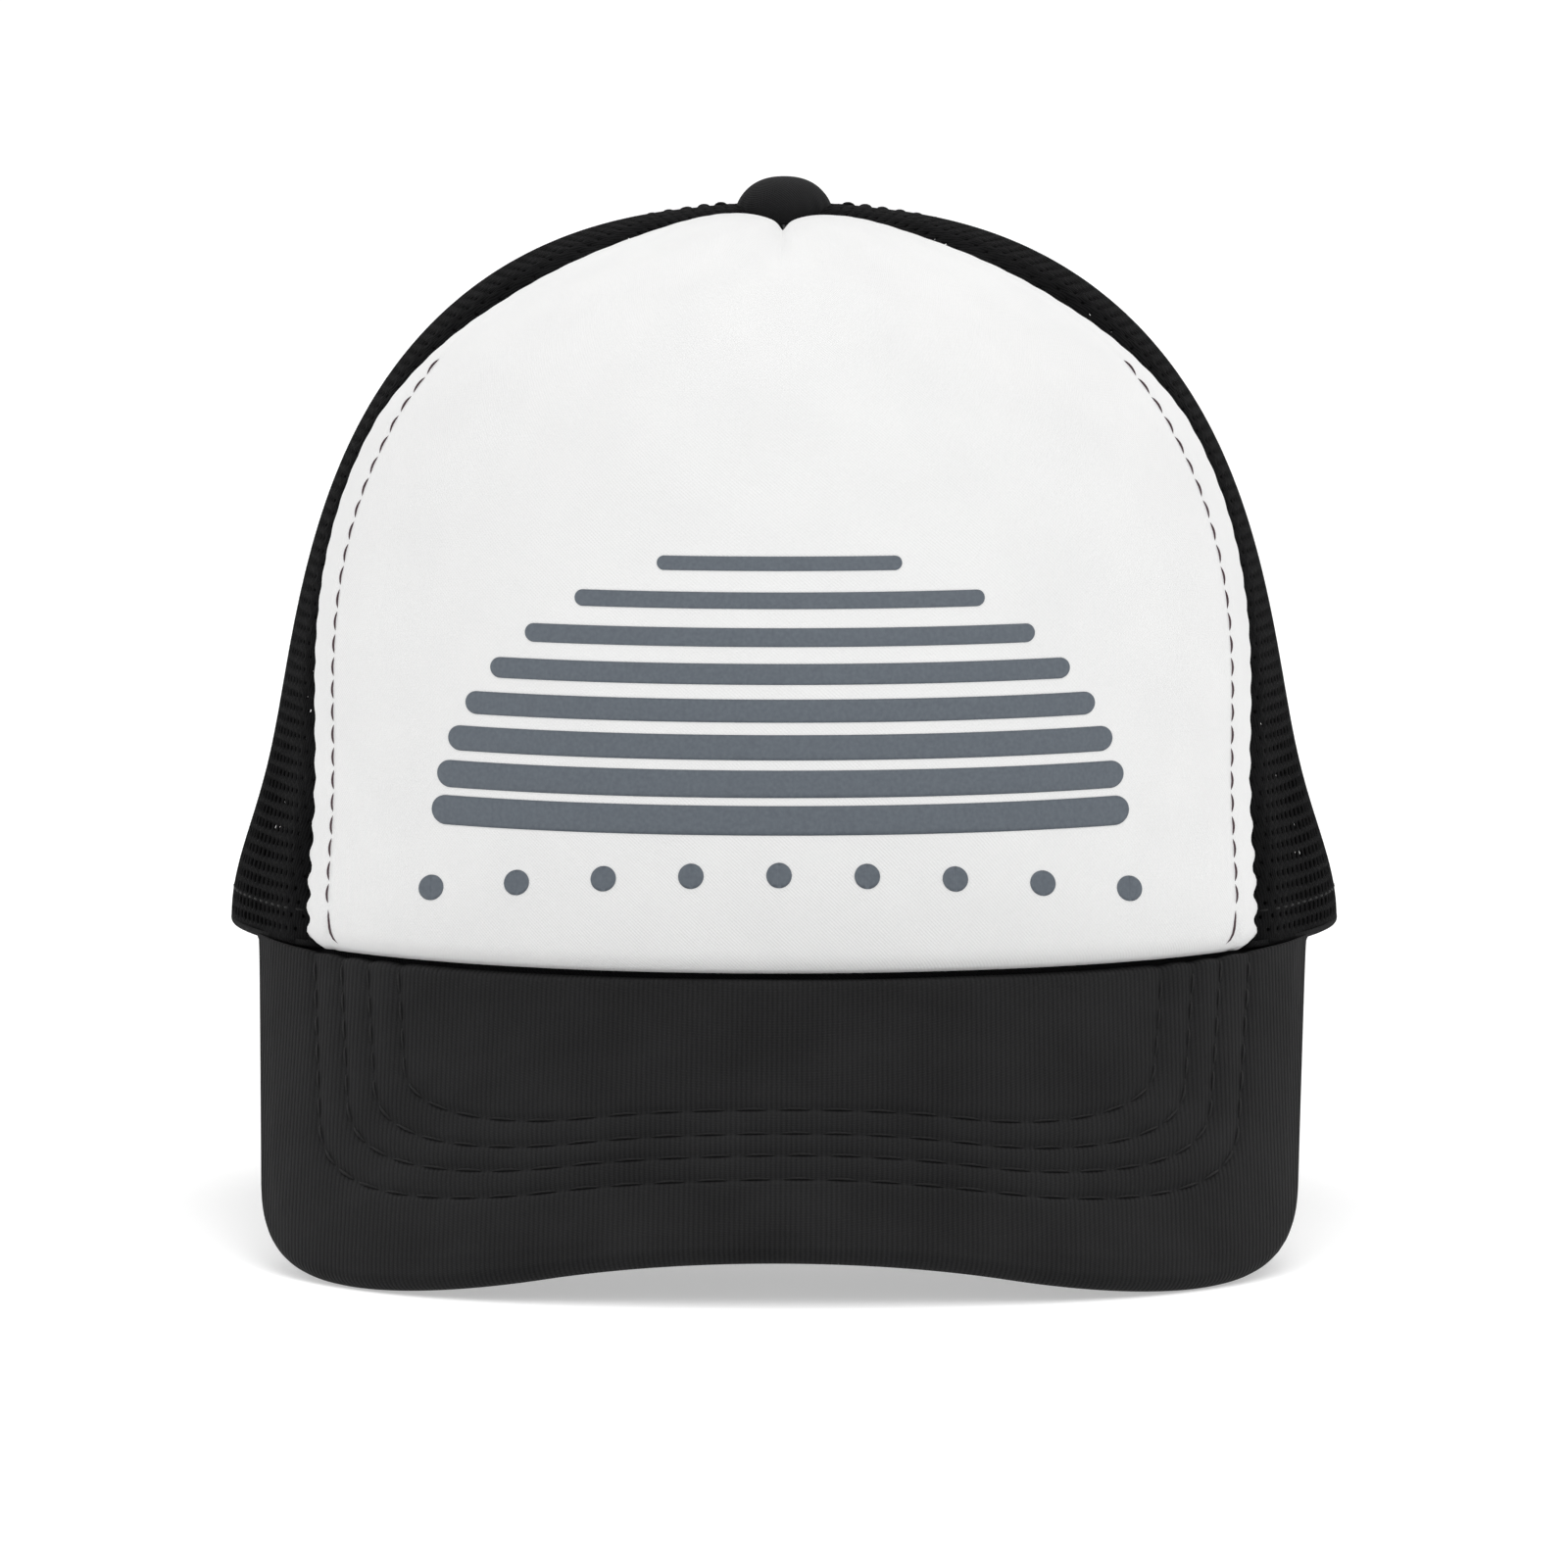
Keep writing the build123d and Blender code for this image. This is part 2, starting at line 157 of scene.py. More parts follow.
def level_radius(azimuth, z):
    """Distance of the crown's wall from the Z axis."""
    return np.linalg.norm(crown(azimuth, z)[..., :2], axis=-1)


# the wall's upright section at the side, from the rim to the top
section_turn = np.linspace(0, math.pi / 2, 6000)
section_z = CROWN_HEIGHT * np.sin(section_turn) ** (2 / SIDE_POWER)
section_radius = SECTION_RADIUS * np.cos(section_turn) ** (2 / SIDE_POWER)
section_along = distances(np.stack([section_z, section_radius], -1))
MERIDIAN = float(section_along[-1])


def height_at(along):
    """Height of the wall at a distance along it from the rim; below the rim it runs straight down."""
    return np.where(along < 0, along, np.interp(along, section_along, section_z))


def along_at(z):
    """Distance along the wall from the rim to a height."""
    return float(np.interp(z, section_z, section_along))


def front_seam(z):
    """Azimuth of the seam between the front panel and the mesh."""
    share = np.clip(z / CROWN_HEIGHT, 0, 1)
    swing = FRONT_SEAM_SWING * np.sin(math.pi * share**FRONT_SEAM_SKEW)
    turn = FRONT_SEAM_TURN * share**FRONT_SEAM_TURN_POWER
    return np.radians(FRONT_SEAM_AZIMUTH + swing - turn)


def azimuth_of(x, z, rear=False):
    """Azimuth at which the wall has a given x at a height."""
    radius = RIM_RADIUS
    for _ in range(7):
        guess = np.arcsin(np.clip(x / radius, -0.999, 0.999))
        guess = math.pi - guess if rear else guess
        radius = level_radius(guess, z)
    return guess


def grid_normals(points):
    """Outward normals of a grid of points whose first axis runs up and second runs along +azimuth."""
    up, along = np.gradient(points, axis=0), np.gradient(points, axis=1)
    return unit(np.cross(along, up))


def crown_normal(azimuth, z):
    """Outward normal of the crown's wall."""
    step = 0.001
    along = crown(azimuth + step, z) - crown(azimuth - step, z)
    up = crown(azimuth, z + step) - crown(azimuth, z - step)
    return unit(np.cross(along, up))


def wall_point(azimuth, z, depth=0.0):
    """A point at a depth below the crown's wall, measured square to it."""
    depth = np.asarray(depth, float)
    return crown(azimuth, z) - crown_normal(azimuth, z) * depth[..., None]


def ripple(azimuth, z, size, seed, count=6):
    """Gentle unevenness of soft cloth, a few long waves."""
    waves = np.random.default_rng(seed)
    total = 0
    for _ in range(count):
        across, along, phase = waves.uniform(2, 8), waves.uniform(0.02, 0.09), waves.uniform(0, TAU)
        total = total + np.sin(across * azimuth + along * z + phase)
    return size * total / count


# ---------------------------------------------------------------- mesh building
def face_outward(mesh):
    """Turns a closed mesh's faces to point outward: the space they enclose is then positive."""
    mesh.validate()
    mesh.calc_loop_triangles()
    places = np.empty(3 * len(mesh.vertices), np.float32)
    mesh.vertices.foreach_get("co", places)
    corners = np.empty(3 * len(mesh.loop_triangles), np.int32)
    mesh.loop_triangles.foreach_get("vertices", corners)
    a, b, c = np.moveaxis(places.reshape(-1, 3).astype(float)[corners.reshape(-1, 3)], 1, 0)
    if np.sum(a * np.cross(b, c)) < 0:
        mesh.flip_normals()


def make_piece(name, points, faces, material, body="cap", cloth=None):
    """A mesh piece from points in millimetres. cloth holds each point's place on the flat cloth, which
    the woven materials read."""
    mesh = bpy.data.meshes.new(name)
    mesh.from_pydata((np.asarray(points) * MM).tolist(), [], [list(map(int, f)) for f in faces])
    mesh.materials.append(material)
    mesh.polygons.foreach_set("use_smooth", [True] * len(mesh.polygons))
    if cloth is not None:
        layer = mesh.attributes.new("cloth", "FLOAT_VECTOR", "POINT")
        layer.data.foreach_set("vector", np.pad(cloth, ((0, 0), (0, 1))).astype(np.float32).ravel())
    face_outward(mesh)
    piece = bpy.data.objects.new(name, mesh)
    bpy.context.scene.collection.objects.link(piece)
    if body:
        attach(piece, body)
    return piece


def grid_faces(rows, columns, start=0, flip=False, wrap=False):
    """Quads of a grid of points. With wrap, the last column joins the first."""
    r, c = np.meshgrid(np.arange(rows - 1), np.arange(columns if wrap else columns - 1), indexing="ij")
    corner, beside = r * columns + c, r * columns + (c + 1) % columns
    quads = np.stack([corner, beside, beside + columns, corner + columns], -1).reshape(-1, 4) + start
    return quads[:, ::-1] if flip else quads


def end_faces(first, last, sides):
    """The faces that close a tube whose end loops of points are numbered from first and from last."""
    return [list(range(first, first + sides))[::-1], list(range(last, last + sides))]


def sheet_faces(rows, columns, start=0):
    """Faces of a closed sheet: its outer grid of points, the inner grid numbered after it, and the edge."""
    count = rows * columns
    border = np.concatenate(
        [
            np.arange(columns),
            np.arange(1, rows) * columns + columns - 1,
            (rows - 1) * columns + np.arange(columns - 2, -1, -1),
            np.arange(rows - 2, 0, -1) * columns,
        ]
    )
    after = np.roll(border, -1)
    edge = np.stack([after, border, border + count, after + count], -1) + start
    outer = grid_faces(rows, columns, start)
    inner = grid_faces(rows, columns, start + count, flip=True)
    return np.concatenate([outer, inner, edge])


def sheet_piece(name, outer, inner, material, slot, cloth=None):
    """A closed piece between two grids of points, outer and inner, joined round their edges."""
    points = np.concatenate([outer.reshape(-1, 3), inner.reshape(-1, 3)])
    flat = None if cloth is None else np.concatenate([cloth.reshape(-1, 2)] * 2)
    return make_piece(name, points, sheet_faces(*outer.shape[:2]), material, cloth=flat)


def tube_piece(name, points, material, cloth=None):
    """A closed piece from a grid of points whose rows are loops. Its two ends are capped."""
    rows, columns = points.shape[:2]
    faces = grid_faces(rows, columns, wrap=True).tolist() + end_faces(0, (rows - 1) * columns, columns)
    if cloth is None:
        around = np.linalg.norm(np.diff(points, axis=1), axis=2).mean(0)
        around = np.concatenate([[0], np.cumsum(around)])
        cloth = np.stack(np.meshgrid(distances(points.mean(1)), around, indexing="ij"), -1)
    return make_piece(name, points.reshape(-1, 3), faces, material, cloth=cloth.reshape(-1, 2))


THREAD_RINGS, THREAD_SIDES = 7, 6
THREAD_TIP = 0.12


def stitch_piece(name, lines, size, thread=None, bow=0.0):
    """Rows of separate thread stitches. Each line is (points, normals); a stitch's ends dive in."""
    pitch, length, radius = size
    share = np.linspace(0, 1, THREAD_RINGS)
    arch = np.sin(math.pi * share)
    swell = np.maximum(arch, 0) ** 0.35
    swell[[0, -1]] = THREAD_TIP
    thick = (radius * swell)[:, None, None]
    turn = (np.arange(THREAD_SIDES) * TAU / THREAD_SIDES)[None, :, None]
    lift = radius * (1.1 * arch - 0.55)
    points, faces, count = [], [], 0
    for path, normals in lines:
        joined = np.concatenate([path, normals], 1)
        far = distances(joined[:, :3])
        room = far[-1] - length
        for start in np.arange(0.9 * min(0.3 * pitch, room), room, pitch):
            places = start + share * length
            ring = np.stack([np.interp(places, far, column) for column in joined.T], -1)
            centre, up = ring[:, :3], ring[:, 3:]
            side = unit(np.cross(up, unit(np.gradient(centre, axis=0))))
            centre = centre + up * lift[:, None] + side * bow * arch[:, None]
            shape = centre[:, None] + thick * (side[:, None] * np.cos(turn) + up[:, None] * np.sin(turn))
            points.append(shape.reshape(-1, 3))
            faces += grid_faces(THREAD_RINGS, THREAD_SIDES, count, wrap=True).tolist()
            faces += end_faces(count, count + (THREAD_RINGS - 1) * THREAD_SIDES, THREAD_SIDES)
            count += THREAD_RINGS * THREAD_SIDES
    return make_piece(name, np.concatenate(points), faces, thread or thread_black)


# ---------------------------------------------------------------- materials
class Nodes:
    """Short words for building a material's nodes."""

    def __init__(self, name):
        self.material = bpy.data.materials.new(name)
        self.material.use_nodes = True
        self.tree = self.material.node_tree
        self.shader = self.tree.nodes["Principled BSDF"]

    def node(self, kind, **settings):
        made = self.tree.nodes.new(kind)
        for key, value in settings.items():
            setattr(made, key, value)
        return made

    def link(self, output, target):
        self.tree.links.new(output, target)

    def math(self, operation, first, second=0.0):
        made = self.node("ShaderNodeMath", operation=operation)
        for socket, value in zip(made.inputs, (first, second)):
            if isinstance(value, (int, float)):
                socket.default_value = value
            else:
                self.link(value, socket)
        return made.outputs[0]

    def cloth_place(self):
        """The two coordinates on the flat cloth, in millimetres."""
        place = self.node("ShaderNodeAttribute", attribute_name="cloth")
        split = self.node("ShaderNodeSeparateXYZ")
        self.link(place.outputs["Vector"], split.inputs[0])
        return place.outputs["Vector"], split.outputs[0], split.outputs[1]

    def wave(self, coordinate, pitch, phase=0.0):
        """A ridge from 0 to 1 that repeats every pitch."""
        turned = self.math("ADD", self.math("MULTIPLY", coordinate, TAU / pitch), phase)
        return self.math("ADD", self.math("MULTIPLY", self.math("SINE", turned), 0.5), 0.5)

    def noise(self, vector, scale, detail=3.0):
        made = self.node("ShaderNodeTexNoise")
        made.inputs["Scale"].default_value = scale
        made.inputs["Detail"].default_value = detail
        self.link(vector, made.inputs["Vector"])
        return made.outputs["Fac"]

    def colours(self, factor, dark, light, low=0.0, high=1.0):
        ramp = self.node("ShaderNodeMapRange")
        ramp.inputs["From Min"].default_value = low
        ramp.inputs["From Max"].default_value = high
        self.link(factor, ramp.inputs["Value"])
        mix = self.node("ShaderNodeMix", data_type="RGBA")
        mix.inputs["A"].default_value = (*dark, 1)
        mix.inputs["B"].default_value = (*light, 1)
        self.link(ramp.outputs[0], mix.inputs["Factor"])
        self.link(mix.outputs["Result"], self.shader.inputs["Base Color"])

    def bump(self, height, distance, strength=1.0):
        made = self.node("ShaderNodeBump")
        made.inputs["Distance"].default_value = distance * MM
        made.inputs["Strength"].default_value = strength
        self.link(height, made.inputs["Height"])
        self.link(made.outputs[0], self.shader.inputs["Normal"])


def woven(name, dark, light, pitch, depth, kind="plain", rough=0.9, sheen=0.0, specular=0.12):
    """Cloth: plain weave, twill or ribs, with fibre noise in its colour and height."""
    n = Nodes(name)
    place, across, along = n.cloth_place()
    if kind == "plain":
        over = n.math("MULTIPLY", n.wave(across, pitch), n.wave(along, pitch))
        under = n.math("MULTIPLY", n.wave(across, pitch, math.pi), n.wave(along, pitch, math.pi))
        pattern = n.math("ADD", over, under)
    elif kind == "twill":
        slanted = n.math("ADD", across, along)
        between = n.math("MULTIPLY", n.wave(across, pitch / 2), 0.25)
        pattern = n.math("ADD", n.wave(slanted, pitch), between)
    else:
        ribs = n.math("POWER", n.wave(across, pitch), 0.7)
        pattern = n.math("ADD", ribs, n.math("MULTIPLY", n.wave(along, pitch * 0.45), 0.22))
    fibre = n.noise(place, 2.2)
    broad = n.noise(place, 0.06, 2.0)
    height = n.math("ADD", pattern, n.math("MULTIPLY", fibre, 0.6))
    shade = n.math("ADD", n.math("MULTIPLY", pattern, 0.35), n.math("MULTIPLY", broad, 0.65))
    shade = n.math("ADD", shade, n.math("MULTIPLY", fibre, 0.25))
    n.colours(shade, dark, light, 0.2, 1.0)
    n.bump(height, depth)
    n.shader.inputs["Roughness"].default_value = rough
    n.shader.inputs["Sheen Weight"].default_value = sheen
    n.shader.inputs["Specular IOR Level"].default_value = specular
    return n.material


def solid(name, dark, light, grain, depth, rough, metallic=0.0, specular=0.5, coat=0.0):
    """Moulded plastic, metal, foam, thread or ink: a base colour with fine grain in object space."""
    n = Nodes(name)
    place = n.node("ShaderNodeTexCoord").outputs["Object"]
    fine = n.noise(place, grain)
    n.colours(fine, dark, light, 0.3, 0.7)
    n.bump(fine, depth)
    n.shader.inputs["Roughness"].default_value = rough
    n.shader.inputs["Metallic"].default_value = metallic
    n.shader.inputs["Specular IOR Level"].default_value = specular
    n.shader.inputs["Coat Weight"].default_value = coat
    return n.material


white_face = woven(
    "white_face", (0.76, 0.76, 0.76), (0.84, 0.84, 0.835), 0.62, 0.05, rough=0.85, specular=0.3
)
foam_cells = solid("foam_cells", (0.62, 0.61, 0.58), (0.84, 0.83, 0.80), 900, 0.5, 0.95)
knit_black = woven(
    "knit_black", (0.001, 0.001, 0.0011), (0.010, 0.010, 0.0105), 0.55, 0.15, "ribs", 0.8, specular=0.04
)
tape_black = woven("tape_black", (0.003, 0.003, 0.0033), (0.010, 0.010, 0.0105), 0.8, 0.12, "twill")
bill_black = woven(
    "bill_black", (0.004, 0.004, 0.0043), (0.017, 0.017, 0.0175), 0.82, 0.12, "ribs", sheen=0.02
)
under_black = woven(
    "under_black", (0.006, 0.006, 0.0063), (0.018, 0.018, 0.019), 0.7, 0.08, "twill", sheen=0.02
)
band_black = woven(
    "band_black", (0.006, 0.006, 0.0065), (0.018, 0.018, 0.019), 0.9, 0.12, "twill", sheen=0.02
)
button_black = woven(
    "button_black", (0.005, 0.005, 0.0055), (0.018, 0.018, 0.019), 0.6, 0.10, "twill", sheen=0.02
)
label_white = woven("label_white", (0.70, 0.70, 0.69), (0.82, 0.82, 0.81), 0.4, 0.03, rough=0.5)
thread_dark = solid("thread_dark", (0.030, 0.010, 0.015), (0.055, 0.021, 0.029), 2500, 0.05, 0.6)
thread_black = solid(
    "thread_black", (0.002, 0.002, 0.002), (0.007, 0.007, 0.0073), 2500, 0.05, 0.6, specular=0.2
)
print_ink = solid("print_ink", (0.088, 0.105, 0.126), (0.112, 0.132, 0.155), 1500, 0.03, 0.62)
strap_black = solid("strap_black", (0.006, 0.006, 0.0063), (0.012, 0.012, 0.0125), 1800, 0.02, 0.38)
board_white = solid("board_white", (0.7, 0.7, 0.68), (0.8, 0.8, 0.78), 300, 0.02, 0.5)
steel = solid("steel", (0.42, 0.42, 0.43), (0.58, 0.58, 0.59), 700, 0.01, 0.35, metallic=1.0)


# ---------------------------------------------------------------- front panel
TOPSTITCH_INSET, TOPSTITCH_TOP_Z = 4.6, 98.0
TOPSTITCH_TURN_IN, TOPSTITCH_TURN_Z = 3.0, 7.0
# one long stitch ends each row of topstitch at the rim
LONG_THREAD_FOOT, LONG_THREAD_HEAD = -0.25, 6.4
ALLOWANCE_RISE, ALLOWANCE_FADE = 0.3, (12.0, 26.0)
# the seam's stitches pull the panel's edge into uneven scallops and puckers
EDGE_SCALLOP, EDGE_PUCKER, SCALLOP_PITCH = 0.7, 0.65, 4.6
CORNER_ROUND = 2.6
FRONT_FOOT, TOP_GAP = -0.3, 3.5
FACE_HALF_WIDTH, FACE_THICKNESS = 96.0, 0.8
FOAM_FACE, FOAM_BACK = 0.95, 3.9


def topstitch_azimuth(z):
    """Azimuth of the topstitch, which keeps its distance from the seam as seen from the front."""
    seam = front_seam(z)
    inset = TOPSTITCH_INSET * (1 - 0.35 * ramp(z, 85, 110))
    return azimuth_of(np.maximum(level_radius(seam, z) * np.sin(seam) - inset, 0.0), z)


def front_relief(azimuth, z, seam_gap, along):
    """How far the front face stands off the crown's plain wall."""
    radius = level_radius(azimuth, z)
    from_middle = np.abs(radius * np.sin(azimuth))
    from_stitch = (np.abs(azimuth) - topstitch_azimuth(z)) * radius
    from_top = MERIDIAN - along
    # padded middle, flatter at the top, with a rolled edge and a sewn channel
    relief = 0.9 * (1 - np.exp(-seam_gap / 11)) - 1.7 * ramp(z, 88, 108) * fade(seam_gap, 15, 1.6)
    relief = relief - 1.5 * fade(seam_gap, 2.1, 1.6)
    sewn = ramp(z, TOPSTITCH_TOP_Z + 2, TOPSTITCH_TOP_Z - 4)
    relief = relief - 0.45 * sewn * fade(from_stitch, 0.95)
    # the seam allowance behind the panel, out to the topstitch
    relief = relief + ALLOWANCE_RISE * ramp(from_stitch, -0.5, 0.5) * ramp(from_top, *ALLOWANCE_FADE)
    # the dart under the button, a lobe on each side of it, and the dip under the button
    dart = ramp(from_top, 52, 0) ** 0.9
    relief = relief - dart * (3.2 * fade(from_middle, 3.4, 1.15) + 1.5 * fade(from_middle, 0.8, 1.5))
    relief = relief + 0.9 * fade(from_middle - 13, 9) * ramp(from_top, 40, 0)
    return relief - 1.6 * fade(radius, 8.5)


def front_surface(across, along, depth=0.0, gathered=False):
    """The front panel's outer face with all its relief. across runs -1 to 1 from seam to seam."""
    z = height_at(along)[:, None] + 0 * across[None]
    short = np.clip(CORNER_ROUND - along[:, None], 0, CORNER_ROUND)
    cut = CORNER_ROUND - np.sqrt(CORNER_ROUND**2 - short**2)
    seam = front_seam(z) - cut / RIM_RADIUS
    azimuth = across[None] * seam
    radius = level_radius(azimuth, z)
    gap = (1 - np.abs(across[None])) * seam * radius
    uneven = (along + 0.9 * np.sin(along / 9))[:, None]
    wave = (np.abs(np.sin(math.pi * uneven / SCALLOP_PITCH)) - 0.5) * gathered
    shift = EDGE_SCALLOP * wave * np.exp(-gap / 1.2)
    azimuth = azimuth + np.sign(across[None]) * shift / np.maximum(radius, 8)
    base = crown(azimuth, z)
    normals = grid_normals(base)
    relief = front_relief(azimuth, z, gap, along[:, None]) + ripple(azimuth, z, *FACE_RIPPLE)
    relief = relief + EDGE_PUCKER * wave * fade(gap, 2.6)
    # the lower edge rolls inward
    foot = np.minimum(ramp(along[:, None], 3.2, -1.0), 0.98)
    relief = relief - 2.6 * (1 - np.sqrt(1 - foot**2)) - depth
    return base + normals * relief[..., None], normals


def bunched(count, share=0.35):
    """Numbers from -1 to 1, closer together near both ends."""
    even = np.linspace(-1, 1, count)
    return even + share * np.sin(math.pi * even) / math.pi


face_across = bunched(225)
face_along = np.linspace(FRONT_FOOT, MERIDIAN - TOP_GAP, 219)
face_outer, face_normals = front_surface(face_across, face_along, gathered=True)
front_face = sheet_piece(
    "front_face",
    face_outer,
    face_outer - FACE_THICKNESS * face_normals,
    white_face,
    "white_polyester",
    cloth=np.stack(np.meshgrid(face_across * FACE_HALF_WIDTH, face_along), -1),
)
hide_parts("front_face_fabric")

foam_across = np.linspace(-0.985, 0.985, 121)
foam_along = np.linspace(1.0, MERIDIAN - TOP_GAP - 2, 111)
foam_grids = [front_surface(foam_across, foam_along, depth)[0] for depth in (FOAM_FACE, FOAM_BACK)]
front_foam = sheet_piece("foam_backing", *foam_grids, foam_cells, "white_foam")
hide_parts("front_foam")


def face_line(azimuth, along, lift):
    """A line on the front face through given azimuths, with its normals."""
    points, normals = [], []
    around = np.array([-1, 0, 1])
    for share, at in zip(azimuth / front_seam(height_at(along)), along):
        patch, patch_normals = front_surface(share + 0.004 * around, at + 0.4 * around)
        normals.append(patch_normals[1, 1])
        points.append(patch[1, 1] + lift * patch_normals[1, 1])
    return np.array(points), np.array(normals)


def topstitch_path(side, low, high):
    """A stretch of topstitch on the front face, which turns inward to the rim at its foot."""
    along = np.linspace(low, high, max(8, int((high - low) / 0.9)))
    azimuth = topstitch_azimuth(height_at(along))
    turn_in = TOPSTITCH_TURN_IN * ramp(along, TOPSTITCH_TURN_Z, 0) ** 1.6
    return face_line(side * (azimuth - turn_in / RIM_RADIUS), along, 0.1)


for side, word in SIDES:
    row = topstitch_path(side, LONG_THREAD_HEAD, along_at(TOPSTITCH_TOP_Z))
    stitch_piece(
        f"front_topstitch_{word}", [row], TOP_STITCH, thread=thread_dark, bow=-0.22 * side
    )
    row = topstitch_path(side, LONG_THREAD_FOOT, LONG_THREAD_HEAD + 0.4)
    one_long = (20.0, LONG_THREAD_HEAD - LONG_THREAD_FOOT, TOP_STITCH[2])
    stitch_piece(f"front_topstitch_end_{word}", [row], one_long, thread=thread_dark)


# ---------------------------------------------------------------- print on the front
PRINT_FOOT, PRINT_HEAD, PRINT_HALF = 22.0, 70.0, 58.0
PRINT_LIFT, PRINT_SINK = 0.11, 0.25
# half heights of the lowest bar and the highest, as shares of the bars' pitch
BAR_COUNT, BAR_SHARES = 8, (0.42, 0.18)
DOT_COUNT, DOT_RADIUS, DOT_Z, DOT_ARCH = 9, 2.1, 12.0, 4.0


def front_point(x, z):
    """Points of the front face at given x and z, with normals, by interpolation on its grid."""
    points, normals = np.zeros((*x.shape, 3)), np.zeros((*x.shape, 3))
    sampled = np.arange(0, len(face_along), 4)
    for index in np.ndindex(x.shape):
        heights = [np.interp(x[index], face_outer[r, :, 0], face_outer[r, :, 2]) for r in sampled]
        row = np.interp(z[index], heights, sampled)
        low = int(min(max(row, 0), len(face_along) - 2))
        for target, source in ((points, face_outer), (normals, face_normals)):
            below, above = (
                np.array([np.interp(x[index], face_outer[r, :, 0], source[r, :, k]) for k in range(3)])
                for r in (low, low + 1)
            )
            target[index] = below + (above - below) * (row - low)
    return points, normals


def print_bar(x_middle, z_middle, half_width, half_height, arch=0.0):
    """Grid of a flat bar with round ends. An arch lifts its middle."""
    straight = max(half_width - half_height, 0)
    turn = np.linspace(0.06, math.pi / 2, 9)
    left_end = -straight - half_height * np.cos(turn)
    body = np.linspace(-straight, straight, max(3, int(straight / 0.8)))[1:-1]
    x = np.concatenate([left_end, body, -left_end[::-1]])
    tall = half_height * np.concatenate([np.sin(turn), np.ones(len(body)), np.sin(turn)[::-1]])
    up = np.linspace(-1, 1, 7)[:, None]
    grid_x = x_middle + x[None] + 0 * up
    grid_z = z_middle + up * tall[None] + arch * (1 - (grid_x / PRINT_HALF) ** 2)
    return grid_x, grid_z


print_parts = []
bar_pitch = (PRINT_HEAD - PRINT_FOOT) / BAR_COUNT
for k in range(BAR_COUNT):
    level = (k + 0.5) / BAR_COUNT
    half_width = PRINT_HALF * math.sqrt(1 - level**2)
    half_height = bar_pitch * float(np.interp(level, [0, 1], BAR_SHARES))
    print_parts.append(print_bar(0, PRINT_FOOT + bar_pitch * (k + 0.5), half_width, half_height))
for x_dot in np.linspace(-PRINT_HALF, PRINT_HALF, DOT_COUNT):
    print_parts.append(print_bar(x_dot, DOT_Z, DOT_RADIUS, DOT_RADIUS, arch=DOT_ARCH))
print_points, print_faces, print_cloth = [], [], []
for grid_x, grid_z in print_parts:
    on_face, out = front_point(grid_x, grid_z)
    print_faces.append(sheet_faces(*grid_x.shape, start=sum(len(p) for p in print_points)))
    print_points.append((on_face + PRINT_LIFT * out).reshape(-1, 3))
    print_points.append((on_face - PRINT_SINK * out).reshape(-1, 3))
    print_cloth += [np.stack([grid_x, grid_z], -1).reshape(-1, 2)] * 2
make_piece(
    "front_print",
    np.concatenate(print_points),
    np.concatenate(print_faces),
    print_ink,
    cloth=np.concatenate(print_cloth),
)


# ---------------------------------------------------------------- knitted mesh
KNIT_PITCH, KNIT_HOLE, KNIT_CORNERS = 2.6, 0.62, 12
# half thickness of the yarn between openings, at an opening's edge and in the middle of a closed cell
KNIT_HEIGHT, KNIT_HOLE_EDGE, KNIT_DIMPLE = 0.33, 0.14, 0.1
KNIT_TOP, KNIT_HEM, KNIT_EDGE_ROOM = MERIDIAN - 5.0, 1.6, 0.4
# a cell is kept if a corner is this far inside the panel, and corners this close become one point
KNIT_KEPT_ROOM, KNIT_MERGE = 0.05, 0.03
# openings beside the front seam are pulled narrow, over this distance from it
KNIT_SEAM_HOLE, KNIT_NARROWING = 0.35, 22.0
UNDER_FRONT = 1.9
MESH_DEPTH = 0.45
BINDING_FOLD, FAR_OUTSIDE = 1.0, 9.0


def under_front_edge(z):
    """Azimuth of the mesh's front edge, a little under the front panel."""
    return front_seam(z) - UNDER_FRONT / level_radius(front_seam(z), z)


def side_edge(z):
    """Azimuth of the side seam."""
    return SIDE_SEAM + 0 * z


def rear_edge(z):
    """Azimuth of the rear seam."""
    return math.pi + 0 * z


def opening_share(azimuth, z):
    """Below 1 inside the cut of the rear opening and 1 on its edge, and the wall's x there."""
    x = level_radius(azimuth, z) * np.sin(azimuth)
    share = np.hypot(x / (OPENING_HALF_WIDTH + BINDING_FOLD), z / (OPENING_HEIGHT + BINDING_FOLD))
    return np.where(azimuth > math.pi / 2, share, FAR_OUTSIDE), x


def mesh_depth(azimuth, z):
    """Depth of the knitted mesh below the crown's plain wall, with its seams and soft folds."""
    radius = level_radius(azimuth, z)
    from_front = (azimuth - front_seam(z)) * radius
    from_side = np.abs(azimuth - SIDE_SEAM) * radius
    from_rear = (math.pi - azimuth) * radius
    tucked = 2.3 * fade(np.maximum(from_front, 0), 2.4, 1.5)
    seams = 0.9 * (fade(from_side, 1.9, 1.5) + fade(from_rear, 1.9, 1.5))
    folds = 0.8 * np.sin(from_front / 5.5 + z / 14) * np.exp(-np.maximum(from_front, 0) / 22)
    folds = folds * ramp(z, 80, 0) * ramp(from_front, 0, 6)
    return MESH_DEPTH + tucked + seams - folds - ripple(azimuth, z, *MESH_RIPPLE)


